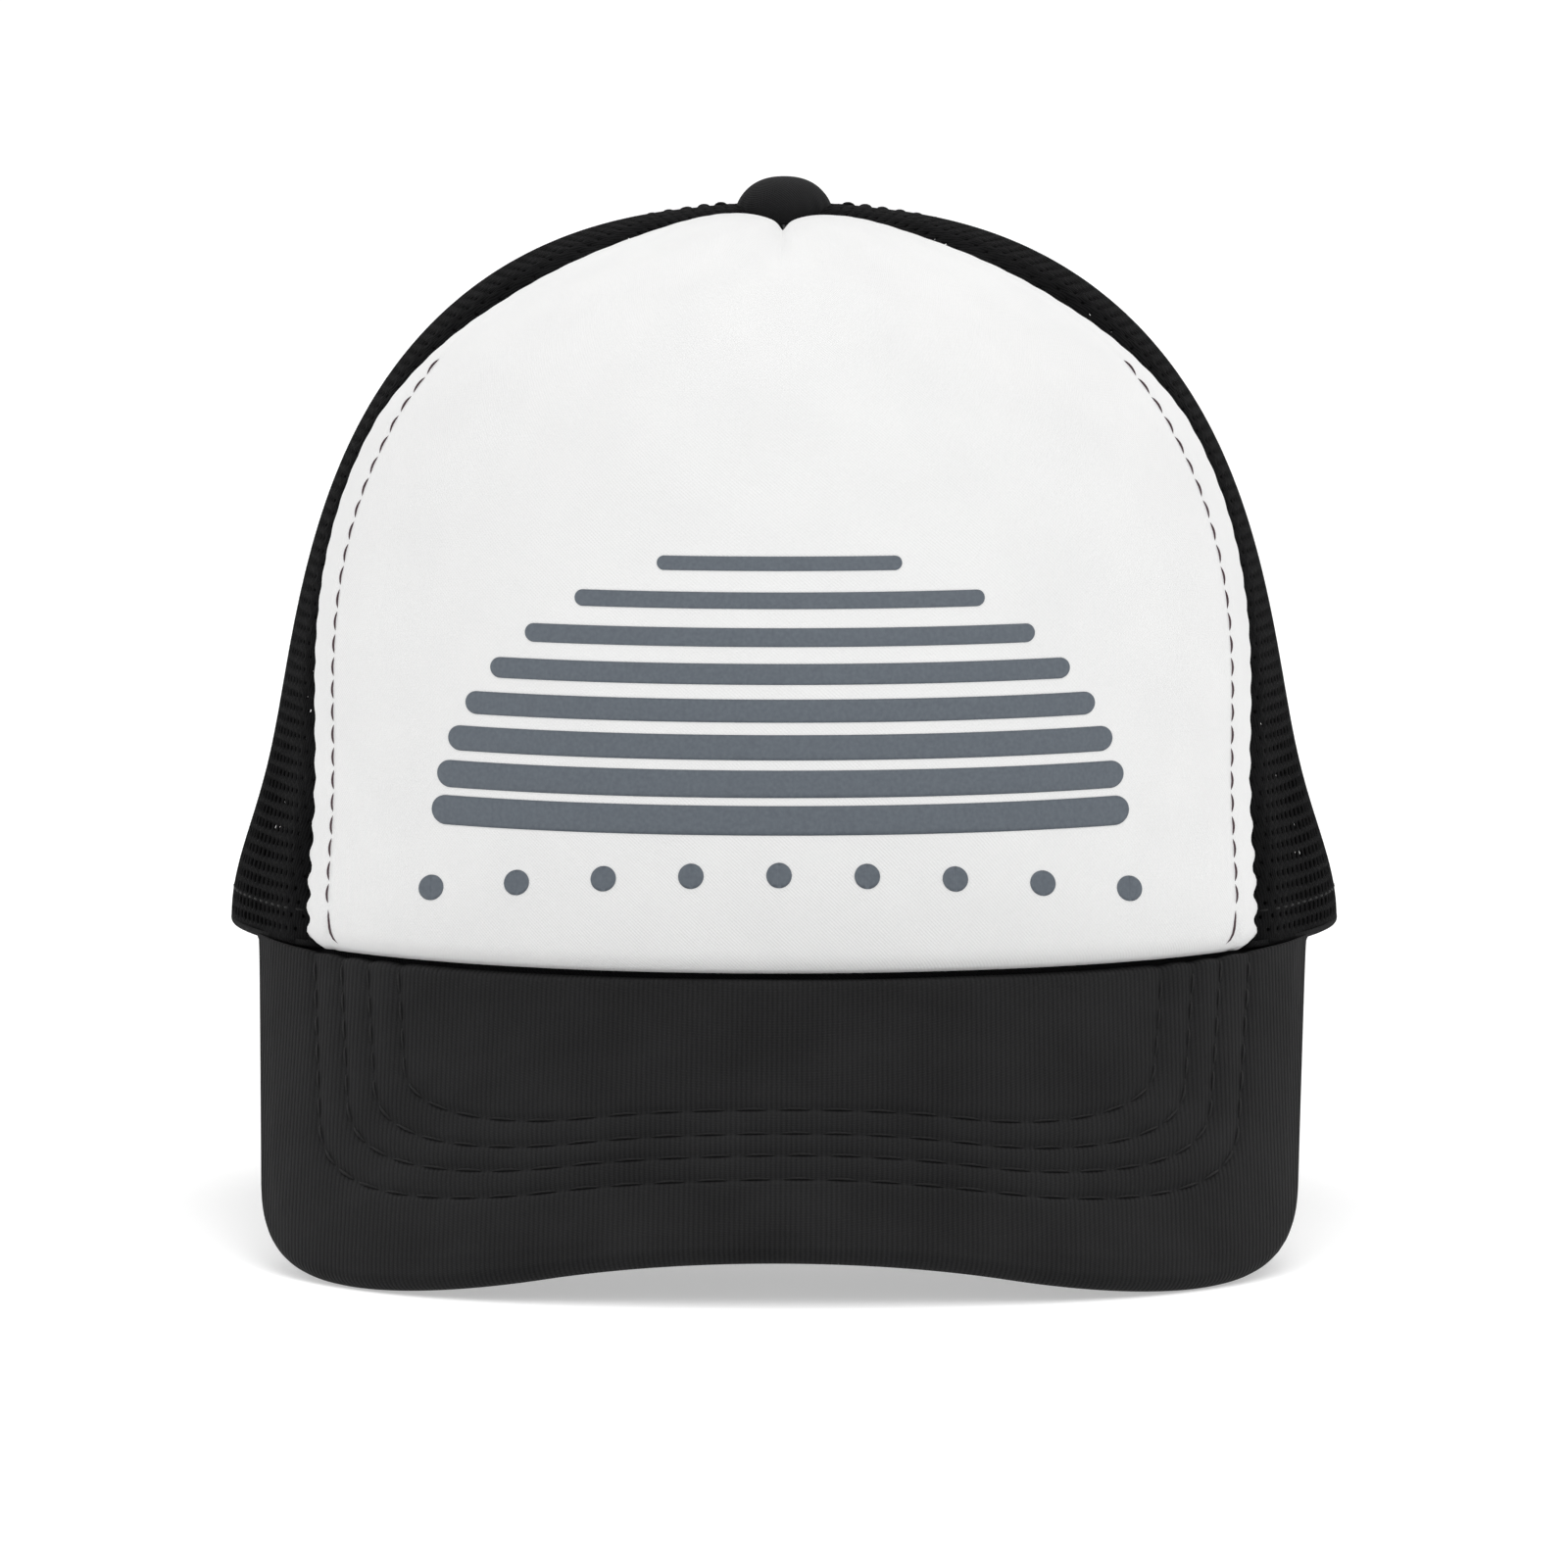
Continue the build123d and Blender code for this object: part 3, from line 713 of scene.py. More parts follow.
def honeycomb(half_width_at):
    """Centres of staggered rows of cells, over a panel with a given half width at each height up it."""
    centres = []
    row_pitch = KNIT_PITCH * math.sqrt(3) / 2
    for row in range(int(KNIT_TOP / row_pitch) + 2):
        along = row * row_pitch
        first = int(half_width_at(along) / KNIT_PITCH) + 1
        for column in range(-first, first + 1):
            centres.append(((column + 0.5 * (row % 2)) * KNIT_PITCH, along))
    return np.array(centres)


def knit_faces(shared, is_open, rings):
    """Faces of a panel whose points are its cells' corners, its openings' corners and its cells'
    middles, each outside and then inside. shared holds the numbers of each cell's corners."""
    cells = len(shared)
    hole_top = 2 * rings + np.arange(cells * KNIT_CORNERS).reshape(-1, KNIT_CORNERS)
    hole_bottom = hole_top + cells * KNIT_CORNERS
    middle_top = 2 * rings + 2 * cells * KNIT_CORNERS + np.arange(cells)
    faces = []
    edge_uses = {}
    for cell in range(cells):
        for k in range(KNIT_CORNERS):
            n = (k + 1) % KNIT_CORNERS
            a, b = int(shared[cell, k]), int(shared[cell, n])
            if is_open[cell]:
                c, d = int(hole_top[cell, n]), int(hole_top[cell, k])
                e, f = int(hole_bottom[cell, n]), int(hole_bottom[cell, k])
                faces.append([a, b, c, d] if a != b else [a, c, d])
                faces.append([b + rings, a + rings, f, e] if a != b else [a + rings, f, e])
                faces.append([d, c, e, f])
            elif a != b:
                m = int(middle_top[cell])
                faces.append([a, b, m])
                faces.append([b + rings, a + rings, m + cells])
            if a != b:
                edge_uses.setdefault((min(a, b), max(a, b)), []).append((a, b))
    # an edge of one cell only is on the panel's own edge
    for uses in edge_uses.values():
        if len(uses) == 1:
            a, b = uses[0]
            faces.append([b, a, a + rings, b + rings])
    # a cell squeezed flat repeats a face with the other winding, and the first of the two is kept
    once = {}
    for face in faces:
        once.setdefault(frozenset(face), face)
    return list(once.values())


def knit_panel(name, side, low_edge, high_edge, replaced):
    """One panel of knitted mesh between two seams, with round-cornered openings in a honeycomb."""
    turn = np.arange(KNIT_CORNERS) * TAU / KNIT_CORNERS
    long_ray, short_ray = KNIT_PITCH / math.sqrt(3), KNIT_PITCH / 2
    reach = np.where(np.arange(KNIT_CORNERS) % 2 == 1, long_ray, short_ray)
    compass = np.stack([np.cos(turn), np.sin(turn)], -1)

    def width_at(along):
        """Height, middle azimuth, radius and half width of the panel at a distance up it."""
        z = height_at(np.clip(along, 0, KNIT_TOP))
        middle = (low_edge(z) + high_edge(z)) / 2
        radius = level_radius(middle, z)
        return z, middle, radius, (high_edge(z) - low_edge(z)) / 2 * radius

    def settle(flat):
        """Azimuth and height of flat points, held inside the panel, and how far inside they were."""
        across, along = flat[..., 0], flat[..., 1]
        z, middle, radius, half = width_at(along)
        azimuth = middle + np.clip(across, -half, half) / radius
        share, x = opening_share(azimuth, z)
        cut = share < 1
        azimuth = np.where(cut, azimuth_of(x / share, z / share, rear=True), azimuth)
        z = np.where(cut, z / share, z)
        room = np.minimum(half - np.abs(across), (share - 1) * OPENING_HALF_WIDTH)
        room = np.minimum(room, np.minimum(along, KNIT_TOP - along))
        return azimuth, z, room

    centres = honeycomb(lambda along: float(width_at(np.array(along))[3]))
    outer = centres[:, None] + compass * reach[:, None]

    kept = (settle(outer)[2] > KNIT_KEPT_ROOM).any(1)
    outer, centres = outer[kept], centres[kept]
    centre_azimuth, centre_z, _ = settle(centres)
    from_front = (centre_azimuth - front_seam(centre_z)) * level_radius(centre_azimuth, centre_z)
    narrowed = KNIT_SEAM_HOLE + (1 - KNIT_SEAM_HOLE) * ramp(from_front, 0, KNIT_NARROWING)
    hole_reach = KNIT_HOLE * short_ray * (1 + 0.05 * np.cos(6 * turn + math.pi))
    hole = centres[:, None] + compass * hole_reach[:, None] * narrowed[:, None, None]
    outer_azimuth, outer_z, _ = settle(outer)
    hole_azimuth, hole_z, hole_room = settle(hole)
    is_open = (hole_room > KNIT_EDGE_ROOM).all(1) & (centres[:, 1] > KNIT_HEM)

    keys = np.stack([outer_azimuth * 90, outer_z], -1).reshape(-1, 2)
    keys = np.round(keys / KNIT_MERGE).astype(int)
    _, first_seen, shared = np.unique(keys, axis=0, return_index=True, return_inverse=True)
    shared = shared.reshape(-1, KNIT_CORNERS)
    ring_azimuth, ring_z = outer_azimuth.ravel()[first_seen], outer_z.ravel()[first_seen]
    ring_flat = outer.reshape(-1, 2)[first_seen]
    middle_azimuth, middle_z = outer_azimuth.mean(1), outer_z.mean(1)

    def layer(azimuth, z, height):
        return wall_point(azimuth, z, mesh_depth(azimuth, z) - height).reshape(-1, 3)

    points = [
        layer(ring_azimuth, ring_z, KNIT_HEIGHT),
        layer(ring_azimuth, ring_z, -KNIT_HEIGHT),
        layer(hole_azimuth, hole_z, KNIT_HOLE_EDGE),
        layer(hole_azimuth, hole_z, -KNIT_HOLE_EDGE),
        layer(middle_azimuth, middle_z, KNIT_DIMPLE),
        layer(middle_azimuth, middle_z, -KNIT_DIMPLE),
    ]
    flats = [ring_flat, ring_flat, hole.reshape(-1, 2), hole.reshape(-1, 2), centres, centres]
    faces = knit_faces(shared, is_open, len(ring_z))
    points = np.concatenate(points)
    used = np.unique(np.concatenate([np.array(face) for face in faces]))
    renumbered = np.full(len(points), -1)
    renumbered[used] = np.arange(len(used))
    faces = [renumbered[face].tolist() for face in faces]
    panel = make_piece(
        name,
        points[used] * (side, 1, 1),
        faces,
        knit_black,
        cloth=np.concatenate(flats)[used],
    )
    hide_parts(replaced)


for side, word in SIDES:
    knit_panel(f"knit_side_{word}", side, under_front_edge, side_edge, f"mesh_side_{word}")
    knit_panel(f"knit_rear_{word}", side, side_edge, rear_edge, f"mesh_rear_{word}")


# ---------------------------------------------------------------- seams, tapes and edges of the crown
TAPE_HALF_WIDTH, TAPE_COLUMNS = 6.0, 9
TAPE_FOOT, FRONT_TAPE_FOOT, TAPE_HEAD = 9.3, 34.3, MERIDIAN - 13
REAR_TAPE_FOOT = along_at(OPENING_HEIGHT + 8.3)
# depths of a tape's two faces below the crown's wall
FRONT_TAPE_DEPTHS, MESH_TAPE_DEPTHS = (4.15, 4.8), (1.35, 1.95)
SEAM_STITCH_OFFSET = 3.5
RIM_STITCH_Z, RIM_TAPE_FACE = 5.6, 1.78


def wall_line(azimuth, z, lift):
    """A line on the crown with its normals, lifted off the plain wall."""
    return wall_point(azimuth, z, -np.asarray(lift, float) + 0 * z), crown_normal(azimuth, z)


def tape_piece(name, side, edge, offset, low, depths, replaced):
    """A twill tape inside a seam, with its two rows of stitches. offset is from the seam to its middle."""
    along = np.linspace(low, TAPE_HEAD, int((TAPE_HEAD - low) / 1.2))
    z = height_at(along)[:, None] + np.zeros(TAPE_COLUMNS)
    across = np.linspace(-1, 1, TAPE_COLUMNS)[None]
    azimuth = edge(z) + (offset + across * TAPE_HALF_WIDTH) / level_radius(edge(z), z)
    soft = 0.12 * (1 - across**2) + ripple(azimuth, z, *TAPE_RIPPLE)
    rolled = 0.18 * across**6
    mirror = np.array([side, 1, 1])
    outer = wall_point(azimuth, z, depths[0] + soft + rolled) * mirror
    inner = wall_point(azimuth, z, depths[1] + soft - rolled) * mirror
    cloth = np.stack([across * TAPE_HALF_WIDTH + 0 * z, along[:, None] + 0 * z], -1)
    tape = sheet_piece(name, outer, inner, tape_black, "black_tape", cloth=cloth)
    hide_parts(replaced)
    lines = []
    for column in (1, TAPE_COLUMNS - 2):
        path = inner[:, column]
        out = crown_normal(np.arctan2(path[:, 0] * side, -path[:, 1]), path[:, 2]) * mirror
        lines.append((path, -out))
    stitch_piece(f"{name}_stitches", lines, TAPE_STITCH)


def seam_topstitch(name, side, edge, low):
    """Two rows of stitches outside the mesh, one on each side of a seam."""
    lines = []
    z = height_at(np.arange(low, MERIDIAN - 12, 1.5))
    for offset in (-SEAM_STITCH_OFFSET, SEAM_STITCH_OFFSET):
        azimuth = edge(z) + offset / level_radius(edge(z), z)
        depth = mesh_depth(math.pi - np.abs(azimuth - math.pi), z)
        path, out = wall_line(azimuth, z, 0.05 + KNIT_HEIGHT - depth)
        lines.append((path * (side, 1, 1), out * (side, 1, 1)))
    stitch_piece(name, lines, SEAM_STITCH)


for side, word in SIDES:
    tape_piece(
        f"front_tape_{word}",
        side,
        front_seam,
        -TAPE_HALF_WIDTH,
        FRONT_TAPE_FOOT,
        FRONT_TAPE_DEPTHS,
        f"front_seam_tape_{word}",
    )
    tape_piece(
        f"side_tape_{word}", side, side_edge, 0.0, TAPE_FOOT, MESH_TAPE_DEPTHS, f"side_seam_tape_{word}"
    )
    seam_topstitch(f"side_topstitch_{word}", side, side_edge, 2.0)
tape_piece("rear_tape", 1, rear_edge, 0.0, REAR_TAPE_FOOT, MESH_TAPE_DEPTHS, "rear_seam_tape")
seam_topstitch("rear_topstitch", 1, rear_edge, REAR_TAPE_FOOT - 2)

# Rim tape: folded round the mesh's lower edge, wide inside and narrow outside, as (height, depth)
RIM_FOLD = np.array(
    [
        (0.6, 0.12), (0.5, 0.05), (0.1, 0.02), (-0.25, 0.08), (-0.5, 0.25), (-0.65, 0.55),
        (-0.55, 1.1), (-0.3, 1.55), (1.5, 1.7), (4.5, 1.75), (7.5, 1.75), (8.9, 1.8),
        (9.1, 1.6), (8.8, 1.35), (6.0, 1.3), (3.0, 1.2), (0.8, 1.1), (0.0, 0.95),
        (-0.2, 0.7), (-0.15, 0.5), (0.1, 0.35), (0.6, 0.3),
    ]
)
rim_low = float(under_front_edge(np.array(0.0)))
rim_high = float(azimuth_of(np.array(OPENING_HALF_WIDTH + 6.0), np.array(2.0), rear=True))
for side, word in SIDES:
    azimuth = np.linspace(rim_low, rim_high, 90)[:, None] + 0 * RIM_FOLD[None, :, 0]
    z = RIM_FOLD[None, :, 0] + 0 * azimuth
    tuck = 1.6 * np.exp(-np.maximum(azimuth - rim_low, 0) * RIM_RADIUS / 2.4)
    rim = wall_point(azimuth, z, RIM_FOLD[None, :, 1] + tuck - ripple(azimuth, z, *MESH_RIPPLE))
    rim_piece = tube_piece(f"rim_binding_{word}", rim * (side, 1, 1), tape_black)
    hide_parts(f"rim_tape_{word}")
    azimuth = np.linspace(rim_low + 0.04, rim_high, 150)
    z = RIM_STITCH_Z + 0 * azimuth
    path, out = wall_line(azimuth, z, KNIT_HEIGHT - 0.2 - mesh_depth(azimuth, z))
    inside = wall_point(azimuth, z, RIM_TAPE_FACE - ripple(azimuth, z, *MESH_RIPPLE))
    mirror = (side, 1, 1)
    lines = [(path * mirror, out * mirror), (inside * mirror, -out * mirror)]
    stitch_piece(f"rim_stitches_{word}", lines, RIM_STITCH)

# Binding folded over the edge of the rear opening, as (distance from the edge, depth)
OPENING_FOLD = np.array(
    [
        (8.0, -0.35), (7.8, -0.6), (6.0, -0.72), (4.0, -0.75), (2.0, -0.72), (0.7, -0.6),
        (0.1, -0.1), (-0.1, 0.5), (0.1, 1.15), (0.7, 1.55), (2.5, 1.68), (5.0, 1.7),
        (7.8, 1.62), (8.05, 1.4), (7.8, 1.2), (5.0, 1.15), (2.5, 1.1), (1.0, 0.95),
        (0.75, 0.5), (1.0, 0.0), (2.5, -0.15), (5.0, -0.2), (7.8, -0.15),
    ]
)
# its rows of stitches, as (distance from the edge, depth, 1 outside or -1 inside)
OPENING_ROWS = ((6.6, -0.74, 1), (1.6, -0.74, 1), (6.6, 1.7, -1), (1.6, 1.66, -1))


def opening_point(angle, out, depth):
    """A point near the edge of the rear opening. out is the distance from the edge."""
    x = (OPENING_HALF_WIDTH + out) * np.cos(angle)
    height = (OPENING_HEIGHT + out) * np.sin(angle)
    z = np.maximum(height, 0.0)
    azimuth = azimuth_of(x, z, rear=True)
    point = wall_point(azimuth, z, depth)
    point[..., 2] += np.minimum(height, 0.0)
    return point, crown_normal(azimuth, z)


opening_angle = np.linspace(-0.02, math.pi + 0.02, 130)[:, None]
fold_out, fold_depth = (OPENING_FOLD[None, :, k] + 0 * opening_angle for k in (0, 1))
opening_grid, _ = opening_point(opening_angle + 0 * fold_out, fold_out, fold_depth)
opening_binding = tube_piece("opening_binding", opening_grid, tape_black)
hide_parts("rear_opening_binding")
opening_lines = []
for out, depth, facing in OPENING_ROWS:
    angle = np.linspace(0.03, math.pi - 0.03, 170)
    path, normal = opening_point(angle, out + 0 * angle, depth + 0 * angle)
    opening_lines.append((path, facing * normal))
stitch_piece("opening_stitches", opening_lines, BINDING_STITCH)


# ---------------------------------------------------------------- sweatband
BAND_FOOT, BAND_END = -0.6, 55.0
# the band's folded cloth in section, as (height, depth), and the depth of its middle
BAND_LOOP = np.array(
    [
        (BAND_FOOT, 5.5), (4, 5.2), (10, 5.15), (18, 5.15), (26, 5.15), (31, 5.2), (33.4, 5.35),
        (34.0, 5.8), (33.8, 6.5), (32.6, 6.95), (31.2, 6.55), (29.5, 6.95), (25, 7.3), (18, 7.4),
        (11, 7.3), (6, 7.0), (3.6, 6.5), (2.0, 6.9), (0.3, 6.7), (BAND_FOOT - 0.3, 6.1),
    ]
)
BAND_MIDDLE = 6.0
BAND_STITCH_COLUMNS = (10, 16)

band_high = float(azimuth_of(np.array(BAND_END), np.array(17.0), rear=True))
band_azimuth = np.linspace(-band_high, band_high, 331)[:, None] + 0 * BAND_LOOP[None, :, 0]
band_z = BAND_LOOP[None, :, 0] + 0 * band_azimuth
# the band thins towards its two ends
fullness = 1 - np.exp(-(band_high - np.abs(band_azimuth)) * 85 / 2.5)
crumple = 0.5 * ripple(np.abs(band_azimuth) * 4, band_z * 2, 1.0, 21) + 0.12 * np.sin(band_azimuth * 60)
band_depth = BAND_MIDDLE + (BAND_LOOP[None, :, 1] - BAND_MIDDLE) * (0.35 + 0.65 * fullness)
band_depth = band_depth + np.where(band_depth > BAND_MIDDLE, 1, 0.3) * crumple * fullness
sweat = wall_point(np.abs(band_azimuth), band_z, band_depth)
sweat[..., 0] *= np.where(band_azimuth < 0, -1, 1)
sweatband = tube_piece("sweatband_pad", sweat, band_black)
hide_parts("sweatband")
band_lines = []
for column in BAND_STITCH_COLUMNS:
    path = sweat[3:-3, column]
    out = crown_normal(np.abs(np.arctan2(path[:, 0], -path[:, 1])), path[:, 2])
    out[:, 0] *= np.where(path[:, 0] < 0, -1, 1)
    band_lines.append((path - 0.1 * out, -out))
stitch_piece("sweatband_stitches", band_lines, BINDING_STITCH)


# ---------------------------------------------------------------- bill
BILL_PITCH = math.radians(37.3)
BILL_REACH = -node_box("bill_top_cover")[0][1]
BILL_TIP, BILL_ROOT, BILL_CORNER = (83.2, 126.4), (89.3, 31.2), 60.0
BILL_THICKNESS, COVER, UNDER_LAP = 3.4, 0.5, 2.4
EDGE_RADIUS = BILL_THICKNESS / 2
UNDER_FACE, UNDER_THICKNESS = BILL_THICKNESS + 0.05, 0.55
BOARD_DEPTHS = (0.85, BILL_THICKNESS - 0.8)
# the stitch rows follow a slightly tighter outline than the edge, and each inner row has a rounder
# one, so that all rows turn their corners on about the same radius
STITCH_ROWS = (17.2, 22.8, 27.9, 33.5)
ROW_TIP, ROW_ROOT, ROW_SPREAD = (82.2, 124.0), (88.4, 33.5), 0.955
ROW_CORNER, ROW_ROUNDING = 63.0, 0.2
TOP_RELIEF, UNDER_RELIEF = (0.34, 0.24), (0.3, 0.2)

BILL_RISE = RIM_RADIUS * math.sin(BILL_PITCH)
BILL_RUN = RIM_RADIUS * math.cos(BILL_PITCH)
BILL_DOWN = np.array([0, -math.cos(BILL_PITCH), -math.sin(BILL_PITCH)])
BILL_UP = np.array([0, -math.sin(BILL_PITCH), math.cos(BILL_PITCH)])

# place across the flattened bill at each angle round the rim
rim_turn = np.linspace(-1.45, 1.45, 4001)
turn_length = np.hypot(RIM_RADIUS * np.cos(rim_turn), BILL_RISE * np.sin(rim_turn))
rim_across = np.concatenate([[0], np.cumsum((turn_length[1:] + turn_length[:-1]) / 2 * np.diff(rim_turn))])
rim_across -= np.interp(0, rim_turn, rim_across)


def bill_point(flat, height=0.0):
    """A point on the bill's top face, from its place on the flattened bill, and raised by a height."""
    phi = np.interp(flat[..., 0], rim_across, rim_turn)
    base = np.stack([RIM_RADIUS * np.sin(phi), RIM_CENTRE_Y + 0 * phi, 0 * phi], -1)
    base = base + (BILL_RISE * np.cos(phi))[..., None] * BILL_UP + flat[..., 1:] * BILL_DOWN
    normal = np.stack([np.sin(phi) / RIM_RADIUS, 0 * phi, 0 * phi], -1)
    normal = unit(normal + (np.cos(phi) / BILL_RISE)[..., None] * BILL_UP)
    return base + normal * (height + 0 * phi)[..., None], normal


def bill_plan(tip, root_corner, corner_radius):
    """Outline of the bill in plan, from its right root round the front to its left root."""
    sag = BILL_REACH - tip[1]
    front_radius = (tip[0] ** 2 + sag**2) / (2 * sag)
    side_lean = math.atan2(root_corner[0] - tip[0], tip[1] - root_corner[1])
    # the corner's circle touches the front arc from inside and the side line
    inward = np.array([-math.cos(side_lean), -math.sin(side_lean)])
    root = np.array([root_corner[0], -root_corner[1]])
    along_side = np.array([-math.sin(side_lean), -math.cos(side_lean)])
    front_centre = np.array([0, front_radius - BILL_REACH])
    offset_start = root + inward * corner_radius - front_centre
    b = offset_start @ along_side
    c = offset_start @ offset_start - (front_radius - corner_radius) ** 2
    centre = root + inward * corner_radius + along_side * (-b + math.sqrt(b * b - c))
    toward = centre - front_centre
    end_turn = math.atan2(toward[1], toward[0])

    def arc(middle, radius, start, end, count):
        turn = np.linspace(start, end, count)
        return middle + radius * np.stack([np.cos(turn), np.sin(turn)], -1)

    front = arc(front_centre, front_radius, -math.pi / 2, end_turn, 120)[:-1]
    corner = arc(centre, corner_radius, end_turn, -side_lean, 80)
    side = corner[-1] + (root - corner[-1]) * np.linspace(0, 1, 60)[1:, None]
    left_half = np.concatenate([front, corner, side])
    right_half = left_half[:0:-1] * (-1, 1)
    return np.concatenate([right_half, left_half])


def flattened(plan):
    """A plan outline laid on the flattened bill."""
    x, y = plan[:, 0], plan[:, 1]
    phi = np.arcsin(np.clip(x / RIM_RADIUS, -1, 1))
    past_rim = (RIM_CENTRE_Y - RIM_RADIUS * np.cos(phi) - y) / math.cos(BILL_PITCH)
    return np.stack([np.interp(phi, rim_turn, rim_across), BILL_RUN * np.cos(phi) + past_rim], -1)


def resample(line, places):
    """Points of a line at given distances along it."""
    return np.stack([np.interp(places, distances(line), column) for column in line.T], -1)


def evenly(line, count):
    """The line again as a number of evenly spaced points."""
    return resample(line, np.linspace(0, distances(line)[-1], count))


edge = flattened(bill_plan(BILL_TIP, BILL_ROOT, BILL_CORNER))
row_guides = {}
for inset in STITCH_ROWS:
    corner_radius = ROW_CORNER + ROW_ROUNDING * (inset - STITCH_ROWS[0])
    row_guides[inset] = flattened(bill_plan(ROW_TIP, ROW_ROOT, corner_radius))


def outline_distance(flat, line, spread=1.0):
    """Distance on the flattened bill from an outline. A spread under 1 widens the lines of equal
    distance sideways."""
    dense = evenly(line, 700)
    points = flat.reshape(-1, 2) * (spread, 1)
    nearest = np.full(len(points), np.inf)
    # in batches, which keeps the arrays small
    for first in range(0, len(dense) - 1, 50):
        batch = dense[first : first + 51]
        a, chord = batch[:-1], np.diff(batch, axis=0)
        t = ((points[:, None] - a) * chord).sum(-1) / (chord**2).sum(-1)
        foot = a + np.clip(t, 0, 1)[..., None] * chord
        nearest = np.minimum(nearest, np.linalg.norm(points[:, None] - foot, axis=-1).min(1))
    return nearest.reshape(flat.shape[:-1])


def row_gap(flat):
    """Distance on the flattened bill from the nearest stitch row."""
    gaps = [
        np.abs(outline_distance(flat, guide, ROW_SPREAD) - inset) for inset, guide in row_guides.items()
    ]
    return np.min(gaps, axis=0)


def stitch_row(inset, rim_gap=1.5):
    """A line on the flattened bill at a distance from the rows' outline, ending near the rim."""
    guide = row_guides[inset]
    line = evenly(guide, 900)
    along = unit(np.gradient(line, axis=0))
    inner = line + inset * np.stack([along[:, 1], -along[:, 0]], -1)
    clear = outline_distance(inner, guide) > inset - 0.05
    inner = inner / (ROW_SPREAD, 1)
    phi = np.interp(inner[:, 0], rim_across, rim_turn)
    inner = inner[clear & (inner[:, 1] - BILL_RUN * np.cos(phi) > rim_gap)]
    return resample(inner, np.arange(0, distances(inner)[-1], 0.6))


def bill_relief(gap, relief):
    """Height of the bill's cloth over its board, at a distance from the nearest stitch row."""
    channel, puff = relief
    return puff * (1 - fade(gap, 2.0)) - channel * fade(gap, 0.75)


def bill_ripple(flat):
    """Slight waves of the cloth on top."""
    return ripple(flat[..., 0] / 40, flat[..., 1], *BILL_RIPPLE)


# the bill's grid: columns run from the rim to the free edge, closer together at the two roots
BILL_COLUMNS, BILL_LINES = 261, 131
column_share = 0.5 - 0.5 * np.cos(np.linspace(0.02, math.pi - 0.02, BILL_COLUMNS))
column_share = 0.55 * column_share + 0.45 * np.linspace(column_share[0], column_share[-1], BILL_COLUMNS)
edge_line = resample(edge, column_share * distances(edge)[-1])
root_phi = math.asin(BILL_ROOT[0] / RIM_RADIUS)
rim_phi = np.interp(column_share, [0, 1], [-root_phi, root_phi])
rim_line = np.stack([np.interp(rim_phi, rim_turn, rim_across), BILL_RUN * np.cos(rim_phi)], -1)
column_length = np.linalg.norm(edge_line - rim_line, axis=1, keepdims=True)
outward = (edge_line - rim_line) / np.maximum(column_length, 1e-6)


def bill_flat(shares, lap):
    """Flat grid from just under the crown's edge to the bill's free edge, less a lap."""
    share = shares[:, None, None]
    line = rim_line * (1 - share) + edge_line * share
    return line - outward * np.minimum(lap, column_length * 0.9) * share


top_flat = bill_flat(np.linspace(0, 1, BILL_LINES), EDGE_RADIUS)
under_rim = -2.0 * fade(np.linspace(0, 1, BILL_LINES) * 69, 2.0, 1.5)[:, None]
top_height = bill_relief(row_gap(top_flat), TOP_RELIEF) + under_rim + bill_ripple(top_flat)
edge_fade = ramp(outline_distance(top_flat, edge), EDGE_RADIUS, EDGE_RADIUS + 3)
top_face, _ = bill_point(top_flat, top_height * edge_fade)

# the cover rolls round the edge and laps a little way under
top_edge = top_flat[-1]
roll, roll_cloth = [], []
for turn in np.linspace(0, math.pi, 11)[1:]:
    flat = top_edge + outward * EDGE_RADIUS * math.sin(turn)
    roll.append(bill_point(flat, EDGE_RADIUS * (math.cos(turn) - 1))[0])
    roll_cloth.append(top_edge + outward * EDGE_RADIUS * turn)
for lap in (1.2, UNDER_LAP):
    roll.append(bill_point(top_edge - outward * lap, -BILL_THICKNESS)[0])
    roll_cloth.append(top_edge + outward * (EDGE_RADIUS * math.pi + lap))
cover_outer = np.concatenate([top_face, roll])
cover_inner = cover_outer + COVER * grid_normals(cover_outer)
bill_cover = sheet_piece(
    "bill_cover",
    cover_outer,
    cover_inner,
    bill_black,
    "bill_cloth",
    cloth=np.concatenate([top_flat, roll_cloth]),
)
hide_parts("bill_top_cover")

# Seam allowances of both covers, turned up together between the foam and the sweatband
ALLOWANCE_WALL = (
    (-2.0, 2.2), (-0.6, 3.7), (1.5, 4.3), (8.0, 4.45), (8.0, 5.0), (1.5, 5.0), (-1.4, 4.6)
)
allowance_phi = np.linspace(-root_phi, root_phi, 181)
allowance_flat = np.stack(
    [np.interp(allowance_phi, rim_turn, rim_across), BILL_RUN * np.cos(allowance_phi) + 0.4], -1
)
allowance = [bill_point(allowance_flat, -2.5)[0]]
for height, depth in ALLOWANCE_WALL:
    allowance.append(wall_point(allowance_phi, height + 0 * allowance_phi, depth + 0 * allowance_phi))
allowance.append(bill_point(allowance_flat, -3.2)[0])
tube_piece("bill_seam_allowance", np.stack(allowance, 1), under_black)

under_flat = bill_flat(np.linspace(0.01, 1, 101), EDGE_RADIUS + 0.6)
under_depth = UNDER_FACE + bill_relief(row_gap(under_flat), UNDER_RELIEF)
under_depth = under_depth + 0.35 * fade(outline_distance(under_flat, edge) - EDGE_RADIUS - 1, 1.6)
under_grids = [bill_point(under_flat, lift - under_depth)[0] for lift in (0, UNDER_THICKNESS)]
bill_under = sheet_piece("bill_underside", *under_grids, under_black, "bill_cloth", cloth=under_flat)
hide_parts("bill_under_cover")

